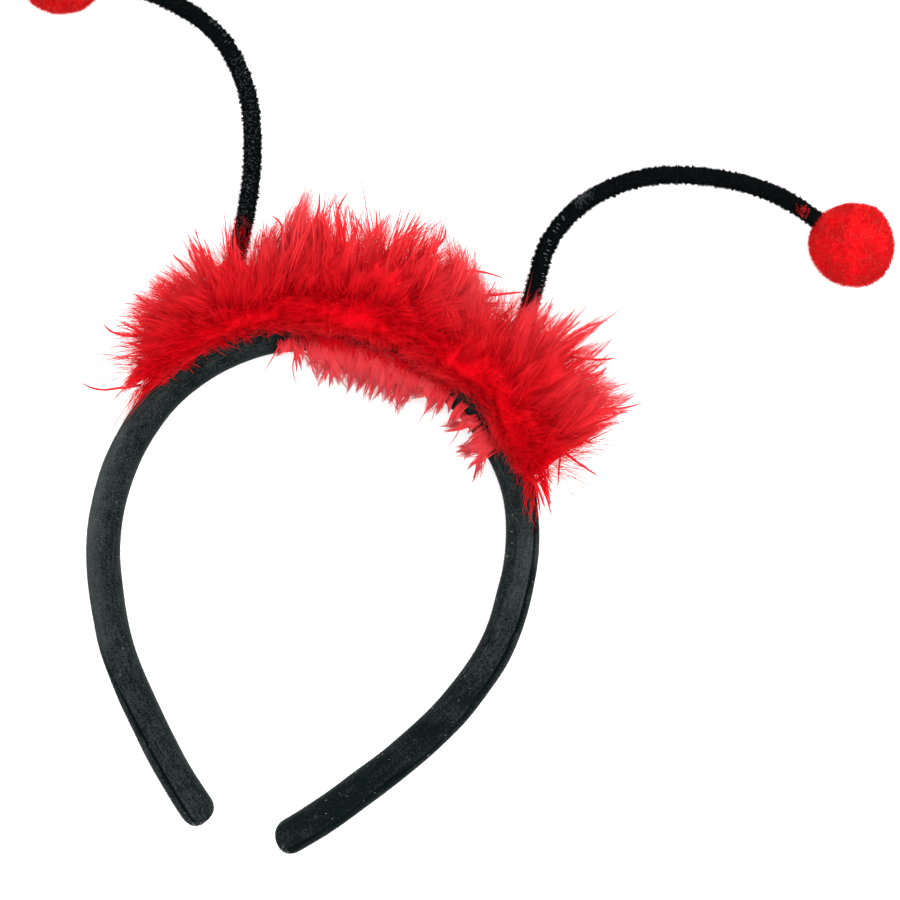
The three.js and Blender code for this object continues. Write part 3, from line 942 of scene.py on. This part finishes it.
# How far the fluff reaches: degrees from the top of the crown, the tips' distance from its middle outside
# and inside, and their height
TRIM_OUTLINE = [
    (-66, 0.0735, 0.069, 0.018), (-60, 0.0765, 0.068, 0.022), (-54, 0.0925, 0.066, 0.027),
    (-48, 0.0975, 0.065, 0.03), (-42, 0.1015, 0.066, 0.031), (-38, 0.0985, 0.066, 0.032),
    (-34, 0.106, 0.066, 0.032), (-30, 0.11, 0.066, 0.033), (-24, 0.1015, 0.062, 0.034),
    (-18, 0.1025, 0.0535, 0.034), (-12, 0.111, 0.0497, 0.035), (-8, 0.1155, 0.0495, 0.035),
    (-4, 0.1015, 0.0495, 0.035), (0, 0.11, 0.0485, 0.035), (6, 0.112, 0.047, 0.035),
    (12, 0.1075, 0.049, 0.034), (16, 0.101, 0.048, 0.034), (20, 0.0955, 0.054, 0.033),
    (26, 0.1055, 0.0545, 0.033), (31, 0.108, 0.0555, 0.034), (36, 0.11, 0.055, 0.034),
    (40, 0.1205, 0.0545, 0.034), (44, 0.108, 0.053, 0.033), (48, 0.1075, 0.053, 0.032),
    (52, 0.1135, 0.062, 0.03), (56, 0.102, 0.066, 0.026), (60, 0.0765, 0.067, 0.022),
    (66, 0.0725, 0.068, 0.018),
]
# How far in over the band the fluff covers it: degrees from the top of the crown, distance from its middle
COVER_EDGE = [
    (-66, 0.0685), (-50, 0.0665), (-28, 0.0668), (-18, 0.0645), (-12, 0.062), (-5, 0.0603), (3, 0.0597),
    (14, 0.06), (22, 0.0615), (28, 0.064), (32, 0.069), (37, 0.0695), (41, 0.066), (45, 0.062),
    (51, 0.061), (57, 0.065), (66, 0.068),
]
# The soft mass round the cord: its ends, its share of the full reach, and the depth of its ridges
BODY_FROM = -57
BODY_TO = 58.5
BODY_SHARE = 0.5
BODY_RELIEF = 0.16
BODY_RIDGES = 7
BODY_PITCH = (0.35, 1.3)  # radians of a ridge to a degree of the crown
BODY_FACE = 65  # the direction in the fan that it bulges to, in degrees
BODY_UNDER = (118, 150)  # degrees away from there, between which it grows flat
BODY_FLAT = 0.14
BODY_ROUND = 12  # how blunt its ends are
BODY_COMBED = 1.6  # scale of its hairs round the cord, against along it
# The layers of barbs: how many bunches, locks in each and barbs in a lock, the fan of directions that they
# take, from outwards over the top to inwards, their share of the full reach, the width of a lock in the
# middle and its share at the tip, how much shorter some barbs are, how far the tips curl sideways, and the
# radius and the points of a barb
BARB_LAYERS = [
    {
        "name": "marabou_outer_barbs", "bunches": 120, "locks": 3, "barbs": 53, "fan": (-24, 62),
        "reach": (0.78, 1.08), "width": 0.0028, "tip": 0.15, "ragged": 0.36, "curl": 0.001, "radius": 0.00007,
        "points": (0.42, 0.74, 1),
    },
    {
        "name": "marabou_upper_barbs", "bunches": 200, "locks": 3, "barbs": 29, "fan": (40, 190),
        "reach": (0.6, 1.1), "width": 0.0026, "tip": 0.3, "ragged": 0.55, "curl": 0.001, "radius": 0.00007,
        "points": (0.42, 0.74, 1),
    },
    {
        "name": "marabou_points", "bunches": 50, "locks": 6, "barbs": 5, "fan": (-22, 32),
        "reach": (0.78, 1.14), "width": 0.001, "tip": 0, "ragged": 0.4, "curl": 0.0026, "radius": 0.0002,
        "points": (0.4, 0.58, 0.72, 0.84, 0.93, 1),
    },
]
DOWN_COUNT = 6000
DOWN_FAN = (-40, 190)
DOWN_REACH = (0.6, 0.95)
DOWN_ENDS = 3  # degrees past the barbs
DOWN_LEAN = 8
DOWN_CURL = 0.0016
DOWN_RADIUS = 0.00007
BARBULE_COUNT = 8000
BARBULE_LENGTH = (0.001, 0.003)
BARBULE_RADIUS = 0.00004
BARBULE_SPREAD = 0.75
# The inner fringe, in locks that lie over the band and hang past its inner edge: from and to which degree,
# how many locks, and their half widths
FRINGE_RUNS = [
    (-23, -14, 9, (0.0002, 0.0009)), (-14, 27, 84, (0.0004, 0.002)), (27, 43, 15, (0.0001, 0.0005)),
    (43, 48, 15, (0.0003, 0.0012)),
]
FRINGE_ROOT = (0.0595, 0.063)
FRINGE_BARBS = 34
FRINGE_UNEVEN = (0.94, 1.09)  # of the tips' distance
FRINGE_LEAN = 3
FRINGE_LIFT = 0.001
FRINGE_RAGGED = 0.4  # how much shorter some barbs are
FRINGE_GAP = 0.0008  # above the band
FRINGE_RADIUS = 0.0001
FRINGE_REACH = 0.021  # inwards from the cord
DRAPE = 0.6  # how steeply barbs fall past the band's inner edge
# Barbs that stray over the band, a few together
STRAY_FROM = -58
STRAY_TO = 30
STRAY_BUNCHES = 120
STRAY_BARBS = 7
STRAY_LENGTH = (0.002, 0.007)
STRAY_ROOT = (0.0005, 0.003)  # how far out from the edge of the fluff they start
STRAY_WAY = 0.3  # radians from straight inwards
STRAY_SPREAD = 0.7
STRAY_GAP = 0.0006
CLEARANCE = 0.0004  # from the band, the feelers and the table
TOGETHER = 20000  # points that are moved clear at a time
# Colours of the barbs and of the down under them: at the cord, painted shade deep in the fluff, further
# out, and at the fringe, painted light that shows through the thin barbs there
BARB_SHADE_TO_LIGHT_REDS = [(0.83, 0.0002, 0.009, 1), (0.96, 0.0055, 0.023, 1), (0.97, 0.215, 0.24, 1)]
DOWN_SHADE_TO_LIGHT_REDS = [(0.77, 0.0003, 0.006, 1), (0.93, 0.006, 0.019, 1), (0.95, 0.135, 0.155, 1)]
BUNCH_STRAY = 1.2  # degrees along the crown, as for the locks
LOCK_STRAY = 0.9
FAN_STRAY = 6
BUNCH_LEAN = 4  # degrees sideways on the way to the tip, as for the locks
LOCK_LEAN = 2
LOCK_UNEVEN = 0.04  # share of the reach
LOCK_ACROSS = 0.55  # how barbs spread sideways and upwards in a lock, as shares of its width
LOCK_ABOVE = 0.5
LOCK_TINT = 0.35  # share of a barb's tint that its lock has in common
# Slow waves in the lean along the crown: degrees, radians of the wave to a degree, and its start
DRIFTS = [(5, 0.19, 0), (4, 0.071, 2)]
BARB_SPLAY = 0.0006  # how far a barb's tip strays from its lock
BARB_BOW = (0.001, 0.0045)  # how far its middle rises
BARB_WAVE = 0.0003
OUTER_DROOP = 0.004  # how far the tips sink outside the band and over it
INNER_DROOP = 0.006
OVER_BAND = 0.006  # how far from the band's middle line barbs still lie on it
DRAPE_GAP = 0.0015  # how far above it
# Loose down that lies on the feelers where they come out of the fluff: its roots' distance from the
# middle of the crown, and its length
FOOT_ROOT = (0.079, 0.096)
FOOT_COUNT = 150
FOOT_LENGTH = (0.003, 0.007)
FOOT_TURNS = (0.5, 2.6)
FLUFF_STATIONS = 800  # along the feelers
ON_PILE = 1.1  # share of the stem's radius
# Long wisps that stand clear of the fluff: where they leave it and where they end, in degrees from the
# top of the crown and metres from its middle, and how far they curl sideways on the way
WISPS = [
    ((50.4, 0.0938), (52.8, 0.1096), 0.0012), ((37.1, 0.096), (39.2, 0.1132), -0.0012),
    ((39.4, 0.0952), (44.6, 0.1083), 0.0016), ((43.4, 0.0955), (44.8, 0.1038), 0.002),
    ((56.0, 0.0809), (62.7, 0.0887), 0.001), ((55.5, 0.0808), (63.8, 0.0754), -0.003),
    ((58.1, 0.0695), (67.0, 0.0709), 0.002), ((58.3, 0.0692), (69.6, 0.0691), -0.002),
    ((-60.5, 0.0705), (-68.8, 0.0868), -0.0035), ((-53.6, 0.0818), (-57.2, 0.0929), -0.002),
    ((-48.4, 0.084), (-49.6, 0.0943), 0.001), ((-20.5, 0.0916), (-21.4, 0.1008), 0.003),
    ((-35.6, 0.0891), (-36.4, 0.0978), -0.001), ((-22.7, 0.0615), (-31.0, 0.0534), 0.001),
    ((-18.9, 0.058), (-19.1, 0.0473), -0.001), ((-8.8, 0.0926), (-7.7, 0.1086), -0.002),
    ((-13.9, 0.0942), (-12.8, 0.1071), 0.001), ((-2.2, 0.0899), (-3.2, 0.1035), 0.0005),
    ((0.4, 0.0902), (3.2, 0.1032), 0.004), ((14.6, 0.0935), (22.5, 0.0994), -0.001),
    ((21.5, 0.0921), (26.0, 0.0996), 0.0005), ((4.4, 0.0563), (6.8, 0.0465), 0.0005),
    ((10.6, 0.0567), (18.6, 0.0473), -0.002), ((23.7, 0.0608), (26.4, 0.0467), 0.001),
    ((27.0, 0.0613), (30.8, 0.0501), -0.001), ((34.7, 0.0608), (40.0, 0.0492), 0.001),
    ((48.8, 0.0623), (47.9, 0.0512), 0.001), ((7.8, 0.0935), (8.5, 0.1054), 0.002),
]
WISP_RADIUS = 0.0005
INNER_WISP_RADIUS = 0.00025
WISP_NEAR = 0.6  # as near the fringe, for their colour
WISP_HEIGHT = 0.013
WISP_DROOP = 0.007
WISP_BOW = 0.003
# A tuft of stray down that is caught on the right feeler: its place from the middle of the crown
TUFT_PLACE = (0.1188, 0.133)
TUFT_COUNT = 60
TUFT_LENGTH = 0.0028  # along the stem
TUFT_TURNS = (1.1, 2.05)  # radians round the stem, from its side over the top
TUFT_REACH = 0.0008
TUFT_BOW = 0.0003
# How each kind of strand tapers: shares of its radius from root to tip
BARB_TAPER = (0.9, 1.0, 0.85, 0.2)
BARBULE_TAPER = (1.0, 0.1)
DOWN_TAPER = (1.0, 1.0, 0.2)
FRINGE_TAPER = (1.0, 1.0, 0.8, 0.2)
FOOT_TAPER = (1.0, 1.0, 0.4)
WISP_TAPER = (1.0, 0.95, 0.75, 0.15)
TUFT_TAPER = (1.0, 1.0, 0.3)


def fan_reach(turn, fan):
    """How far the fluff reaches from the cord in a direction of the fan, as an oval round it."""
    outer, _, top = columns_at(TRIM_OUTLINE, turn)
    (edge,) = columns_at(COVER_EDGE, turn)
    flat = np.where(np.cos(fan) > 0, outer - CORD_RADIUS, CORD_RADIUS - edge)
    return 1 / np.sqrt((np.cos(fan) / flat) ** 2 + (np.sin(fan) / (top - CORD_HEIGHT)) ** 2)


def fringe_share(turn, distance, height):
    """How near a point is to the fringe, mostly by its distance from the cord outwards or inwards: 0 to 1."""
    out = distance - CORD_RADIUS
    outer, _, _ = columns_at(TRIM_OUTLINE, turn)
    flat = np.abs(out) / np.where(out > 0, outer - CORD_RADIUS, FRINGE_REACH)
    fan = np.arctan2(height - CORD_HEIGHT, out)
    whole = np.hypot(height - CORD_HEIGHT, out) / fan_reach(turn, fan)
    return np.clip(0.75 * flat + 0.25 * np.minimum(whole, 1), 0, 1)


def crown_place(turn, distance, height):
    """Points of the part from degrees round the crown, distance from its middle, and height."""
    angle = np.radians(turn)
    across = crown_middle[0] + distance * np.sin(angle)
    ahead = crown_middle[1] + distance * np.cos(angle)
    return np.stack([across, ahead, height], axis=-1)


stem_lines = np.vstack([stem_route(side, 120)[0] for side in ("left", "right")])


def kept_clear(paths):
    """Moves strands off the band, the feelers and the table."""
    _, out = band_measure(paths)
    half = BAND_THICKNESS / 2 + CLEARANCE
    top = BAND_DEPTH + CLEARANCE
    inside = (np.abs(out) < half) & (paths[..., 2] < top)
    sideways = inside & (out > 0) & (half - out < top - paths[..., 2])
    outward = unit(paths[..., :2] - crown_middle)
    paths[..., :2] += outward * np.where(sideways, half - out, 0)[..., None]
    paths[..., 2] = np.where(inside & ~sideways, top, paths[..., 2])
    flat = paths.reshape(-1, 3)
    for first in range(0, len(flat), TOGETHER):
        some = flat[first : first + TOGETHER]
        gaps = np.linalg.norm(some[:, None] - stem_lines, axis=2)
        nearest = stem_lines[gaps.argmin(axis=1)]
        away = some - nearest
        near = np.linalg.norm(away, axis=1, keepdims=True)
        some += unit(away) * np.maximum(STEM_RADIUS + CLEARANCE - near, 0)
    paths = flat.reshape(paths.shape)
    paths[..., 2] = np.maximum(paths[..., 2], CLEARANCE)
    return paths


def fluff_body():
    """The soft mass round the cord: a ball that is drawn out along the crown, ridged between its locks."""
    body = added(
        bpy.ops.mesh.primitive_uv_sphere_add, "marabou_body", segments=72, ring_count=240, radius=1
    )
    ball = positions(body.data)
    share = np.arccos(np.clip(ball[:, 2], -1, 1)) / np.pi
    turn = BODY_FROM + (BODY_TO - BODY_FROM) * share
    fan = np.arctan2(ball[:, 1], ball[:, 0])
    pitch = chance.uniform(*BODY_PITCH, BODY_RIDGES)
    drift = chance.choice([-1, -0.5, 0.5, 1], BODY_RIDGES)
    start = chance.uniform(0, np.pi, BODY_RIDGES)
    waves = np.abs(np.sin(turn[:, None] * pitch + fan[:, None] * drift + start))
    ridges = (1 - 2 * waves).mean(axis=1)
    away = np.abs((fan - math.radians(BODY_FACE) + np.pi) % (2 * np.pi) - np.pi)
    under = np.interp(away, np.radians(BODY_UNDER), [1, BODY_FLAT])
    ends = np.sqrt(np.maximum(1 - np.abs(2 * share - 1) ** BODY_ROUND, 0))
    reach = fan_reach(turn, fan) * BODY_SHARE * under * ends
    reach *= 1 + BODY_RELIEF * ridges
    distance = CORD_RADIUS + reach * np.cos(fan)
    height = CORD_HEIGHT + reach * np.sin(fan)
    near_fringe = fringe_share(turn, distance, height)
    move_vertices(body.data, kept_clear(crown_place(turn, distance, height)))
    bpy.ops.object.mode_set(mode="EDIT")
    bpy.ops.mesh.select_all(action="SELECT")
    bpy.ops.mesh.normals_make_consistent(inside=False)
    bpy.ops.object.mode_set(mode="OBJECT")
    body.data.uv_layers[0].name = "OFBake"
    note(body.data, "lie", np.stack([turn, BODY_COMBED * np.cos(fan), BODY_COMBED * np.sin(fan)], axis=1))
    note(body.data, "fringe", near_fringe)
    body.data.shade_smooth()
    return body


def barb_paths(layer):
    """Barbs in pointed locks that fan out from the cord, their nearness to the fringe and their tints."""
    bunches, barbs = layer["bunches"], layer["barbs"]
    locks = bunches * layer["locks"]
    count = locks * barbs

    def bunched(values, spread):
        return np.repeat(values, layer["locks"]) + chance.normal(0, spread, locks)

    turn = np.linspace(TRIM_FROM, TRIM_TO, bunches) + chance.normal(0, BUNCH_STRAY, bunches)
    turn = bunched(turn, LOCK_STRAY)
    fan = np.radians(bunched(chance.permutation(np.linspace(*layer["fan"], bunches)), FAN_STRAY))
    drift = sum(most * np.sin(turn * pitch + start) for most, pitch, start in DRIFTS)
    flare = FLARE * ((turn - TRIM_FROM) / (TRIM_TO - TRIM_FROM) * 2 - 1) ** 5
    lean = drift + flare + bunched(chance.normal(0, BUNCH_LEAN, bunches), LOCK_LEAN)
    length = bunched(chance.uniform(*layer["reach"], bunches), LOCK_UNEVEN)
    bow = chance.uniform(*BARB_BOW, locks)
    curl = chance.normal(0, layer["curl"], locks)
    lock_tint = chance.random(locks)
    turn, fan, lean, length, bow, curl, lock_tint = repeated(
        barbs, turn, fan, lean, length, bow, curl, lock_tint
    )
    share = np.array(layer["points"]) * (1 - layer["ragged"] * chance.random((count, 1)))
    swell = layer["tip"] + (1 - layer["tip"]) * np.sin(np.pi * np.minimum(share, 1) ** 0.8)
    splay = chance.normal(0, BARB_SPLAY, (2, count, 1)) * share**2
    across = chance.normal(0, LOCK_ACROSS, (count, 1)) * layer["width"] * swell + splay[0]
    above = chance.normal(0, LOCK_ABOVE, (count, 1)) * layer["width"] * swell + splay[1]
    wave = chance.normal(0, BARB_WAVE, (count, 1)) * np.sin(7 * share + chance.uniform(0, 6, (count, 1)))
    reach = fan_reach(turn + lean, fan) * length
    rise = share * reach * np.sin(fan) + bow * np.sin(np.pi * share) + above * np.abs(np.cos(fan))
    stray = chance.normal(0, CORD_SPREAD, (2, count, 1)) * (1 - share)
    height = CORD_HEIGHT + rise - OUTER_DROOP * share**2 * np.maximum(np.cos(fan), 0) + stray[0]
    distance = CORD_RADIUS + share * reach * np.cos(fan) - above * np.sin(fan) + wave + stray[1]
    sweep = turn + lean * share**1.3 + np.degrees((across + wave + curl * share**2) / distance)
    near_fringe = fringe_share(sweep, distance, height)
    past_band = np.maximum(CROWN_RADIUS - OVER_BAND - distance, 0)
    drape = np.maximum(BAND_DEPTH + DRAPE_GAP - DRAPE * past_band, CLEARANCE)
    over_band = (np.cos(fan) < 0) & (distance < CROWN_RADIUS + OVER_BAND)
    height = np.where(over_band, np.maximum(height - INNER_DROOP * share**2, drape), height)
    tints = LOCK_TINT * lock_tint[:, 0] + (1 - LOCK_TINT) * chance.random(count)
    return kept_clear(crown_place(sweep, distance, height)), near_fringe, tints


def down_paths():
    """Short barbs that stand out of the soft mass all over, and their nearness to the fringe."""
    turn = chance.uniform(TRIM_FROM - DOWN_ENDS, TRIM_TO + DOWN_ENDS, (DOWN_COUNT, 1))
    fan = np.radians(chance.uniform(*DOWN_FAN, (DOWN_COUNT, 1)))
    lean = chance.normal(0, DOWN_LEAN, (DOWN_COUNT, 1))
    reach = fan_reach(turn, fan) * chance.uniform(*DOWN_REACH, (DOWN_COUNT, 1))
    share = np.array([0.5, 0.75, 1.0])
    curl = chance.normal(0, DOWN_CURL, (DOWN_COUNT, 1)) * np.sin(np.pi * share)
    distance = CORD_RADIUS + share * reach * np.cos(fan) + curl * np.sin(fan)
    height = CORD_HEIGHT + share * reach * np.sin(fan) - curl * np.cos(fan)
    near_fringe = fringe_share(turn, distance, height)
    return kept_clear(crown_place(turn + lean * share, distance, height)), near_fringe


def barbule_paths(barbs, near_fringe):
    """Fine hairs that stand off the outer part of the barbs, and their nearness to the fringe."""
    barb = chance.integers(0, len(barbs), BARBULE_COUNT)
    step = chance.integers(1, barbs.shape[1] - 1, BARBULE_COUNT)
    share = chance.random((BARBULE_COUNT, 1))
    start, end = barbs[barb, step], barbs[barb, step + 1]
    root = start + (end - start) * share
    way = unit(unit(end - start) + BARBULE_SPREAD * unit(chance.normal(size=(BARBULE_COUNT, 3))))
    tip = root + way * chance.uniform(*BARBULE_LENGTH, (BARBULE_COUNT, 1))
    return kept_clear(np.stack([root, tip], axis=1)), near_fringe[barb][:, [1, 2]]


def repeated(times, *columns):
    """Each value as many times over, as columns."""
    return [np.repeat(values, times)[:, None] for values in columns]


def hanging_paths():
    """Barbs in pointed locks over the band and past its inner edge, and their nearness to the fringe."""
    turn = np.concatenate([chance.uniform(first, last, locks) for first, last, locks, _ in FRINGE_RUNS])
    count = len(turn) * FRINGE_BARBS
    _, inner, _ = columns_at(TRIM_OUTLINE, turn)
    end = inner * chance.uniform(*FRINGE_UNEVEN, len(turn))
    width = np.concatenate([chance.uniform(*widths, locks) for _, _, locks, widths in FRINGE_RUNS])
    lean = chance.normal(0, FRINGE_LEAN, len(turn))
    lift = chance.uniform(-FRINGE_LIFT, FRINGE_LIFT, len(turn))
    turn, end, lean, lift, width = repeated(FRINGE_BARBS, turn, end, lean, lift, width)
    share = np.linspace(0, 1, 4)
    reach = share * (1 - FRINGE_RAGGED * chance.random((count, 1)) ** 2)
    across = chance.normal(0, 1, (count, 1)) * width * (1 - reach) ** 0.7
    root = chance.uniform(*FRINGE_ROOT, (count, 1))
    distance = root + (end - root) * reach
    past_edge = np.maximum(CROWN_RADIUS - BAND_THICKNESS / 2 - distance, 0)
    height = BAND_DEPTH + FRINGE_GAP + lift * share - DRAPE * past_edge
    lock_turn = turn + lean * share**2 + np.degrees(across / distance)
    return crown_place(lock_turn, distance, height), 0.6 + 0.35 * reach


def straying_paths():
    """Barbs that lie on the band, a few together, and their nearness to the fringe."""
    count = STRAY_BUNCHES * STRAY_BARBS
    share = np.linspace(0, 1, 4)
    (turn,) = repeated(STRAY_BARBS, chance.uniform(STRAY_FROM, STRAY_TO, STRAY_BUNCHES))
    turn = turn + chance.normal(0, 0.5, (count, 1))
    root = columns_at(COVER_EDGE, turn)[0] + chance.uniform(*STRAY_ROOT, (count, 1))
    (length,) = repeated(STRAY_BARBS, chance.uniform(*STRAY_LENGTH, STRAY_BUNCHES))
    length = length * chance.uniform(0.5, 1, (count, 1))
    (way,) = repeated(STRAY_BARBS, chance.normal(STRAY_WAY, STRAY_SPREAD, STRAY_BUNCHES))
    way = way + chance.normal(0, 0.2, (count, 1))
    distance = root - length * share * np.cos(way)
    sideways = np.degrees(length * (share * np.sin(way) + 0.2 * share**2) / distance)
    height = BAND_DEPTH + STRAY_GAP + STRAY_GAP * np.sin(np.pi * share) * np.ones_like(root)
    return crown_place(turn + sideways, distance, height), np.full(distance.shape, 0.1)


def tuft_paths():
    """Stray down on the right feeler, standing off its pile."""
    route, _ = stem_route("right", FLUFF_STATIONS)
    frames = frames_along(route)
    spot = np.linalg.norm(route[:, :2] - crown_middle - TUFT_PLACE, axis=1).argmin()
    radial = round_route(frames, spot, chance.uniform(*TUFT_TURNS, TUFT_COUNT))
    middle = route[spot] + frames[0][spot] * chance.normal(0, TUFT_LENGTH / 3, (TUFT_COUNT, 1))
    way = unit(radial + 0.8 * chance.normal(size=(TUFT_COUNT, 3)))
    root = middle + radial * STEM_RADIUS * ON_PILE
    tip = root + 0.12 * STEM_RADIUS * radial + TUFT_REACH * way
    return np.stack([root, (root + tip) / 2 + TUFT_BOW * radial, tip], axis=1)


def foot_paths():
    """Loose down on both feelers, lying along their pile."""
    share = np.linspace(0, 1, 4)[:, None]
    rows = []
    for side in ("left", "right"):
        route, _ = stem_route(side, FLUFF_STATIONS)
        frames = frames_along(route)
        forward, sides, _ = frames
        away = np.linalg.norm(route[:, :2] - crown_middle, axis=1)
        spot = np.searchsorted(away[: FLUFF_STATIONS // 2], chance.uniform(*FOOT_ROOT, FOOT_COUNT))
        radial = round_route(frames, spot, chance.uniform(*FOOT_TURNS, FOOT_COUNT))
        root = route[spot] + radial * STEM_RADIUS * ON_PILE
        way = unit(forward[spot] + 0.35 * sides[spot] * chance.normal(size=(FOOT_COUNT, 1)))
        length = chance.uniform(*FOOT_LENGTH, FOOT_COUNT)[:, None, None]
        lift = 0.25 * np.sin(np.pi * share) + 0.1 * share
        rows.append(root[:, None] + length * (share * way[:, None] + lift * radial[:, None]))
    return kept_clear(np.concatenate(rows))


def wisp_paths():
    share = np.linspace(0, 1, 8)
    rows = []
    for (turn, distance), (end_turn, end_distance), curl in WISPS:
        turn = turn + (end_turn - turn) * share
        distance = distance + (end_distance - distance) * share
        bend = curl * np.sin(np.pi * share)
        height = WISP_HEIGHT - WISP_DROOP * share**2 + WISP_BOW * np.sin(np.pi * share)
        rows.append(crown_place(turn + np.degrees(bend / distance), distance, height))
    return kept_clear(np.array(rows))


def marabou_colour(finish, reds, tint, fringe):
    """Deep red at the cord as painted shade, paler towards the fringe as painted light between the barbs."""
    body = finish.blend(fringe * 0.7 + tint * 0.3, reds[0], reds[1])
    paleness = fringe**2.7 * 0.95 + (tint - 0.5) * 0.1
    return finish.blend(finish.node("ShaderNodeClamp", inputs={"Value": paleness})[0], body, reds[2])


def down_finish():
    """Matted down, combed outwards from the cord."""
    finish = Finish("red_down")
    hairs = finish.noise(finish.attribute("lie", "Vector"), scale=4.5, detail=5)
    colour = marabou_colour(finish, DOWN_SHADE_TO_LIGHT_REDS, hairs, finish.attribute("fringe", "Fac"))
    nap = finish.bump(hairs, strength=0.8, distance=0.0015)
    return finish.surface(finish.matt(colour, 1, 0.01, {"Normal": nap}))


def marabou_finish():
    finish = Finish("red_marabou")
    colour = marabou_colour(finish, BARB_SHADE_TO_LIGHT_REDS, *strand_share(finish))
    return finish.surface(finish.lit_through(finish.matt(colour, 0.85, 0.02), colour, 0.52))


marabou = marabou_finish()


def feathery(name, paths, near_fringe, radius, taper, tints=None):
    """A piece of dyed strands that taper by the given shares of their radius from root to tip."""
    if tints is None:
        tints = chance.random(len(paths))
    steps = np.linspace(0, 1, paths.shape[1])
    radii = radius * np.interp(steps, np.linspace(0, 1, len(taper)), taper)
    piece = strand_mesh(name, paths, radii, tints, near_fringe)
    piece.data.materials.append(marabou)
    return piece


trim_pieces = []
for layer in BARB_LAYERS:
    barbs, near_fringe, tints = barb_paths(layer)
    trim_pieces.append(feathery(layer["name"], barbs, near_fringe, layer["radius"], BARB_TAPER, tints))

barbules = barbule_paths(barbs, near_fringe)
trim_pieces.append(feathery("marabou_barbules", *barbules, BARBULE_RADIUS, BARBULE_TAPER))
trim_pieces.append(feathery("marabou_down", *down_paths(), DOWN_RADIUS, DOWN_TAPER))

hanging, hanging_near = hanging_paths()
straying, straying_near = straying_paths()
inner = kept_clear(np.concatenate([hanging, straying]))
near_fringe = np.concatenate([hanging_near, straying_near])
trim_pieces.append(feathery("marabou_inner_fringe", inner, near_fringe, FRINGE_RADIUS, FRINGE_TAPER))
trim_pieces.append(feathery("marabou_over_feelers", foot_paths(), 0, BARBULE_RADIUS, FOOT_TAPER))

inside = np.array([[end[1] < CROWN_RADIUS] for _, end, _ in WISPS])
wisp_radii = np.where(inside, INNER_WISP_RADIUS, WISP_RADIUS)
trim_pieces.append(feathery("marabou_wisps", wisp_paths(), WISP_NEAR, wisp_radii, WISP_TAPER))

body = fluff_body()
body.data.materials.append(down_finish())
for piece in (body, *trim_pieces):
    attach(piece, "root")
    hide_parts("marabou_trim")

tuft = feathery("stray_down_on_feeler", tuft_paths(), None, DOWN_RADIUS, TUFT_TAPER)
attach(tuft, "root")
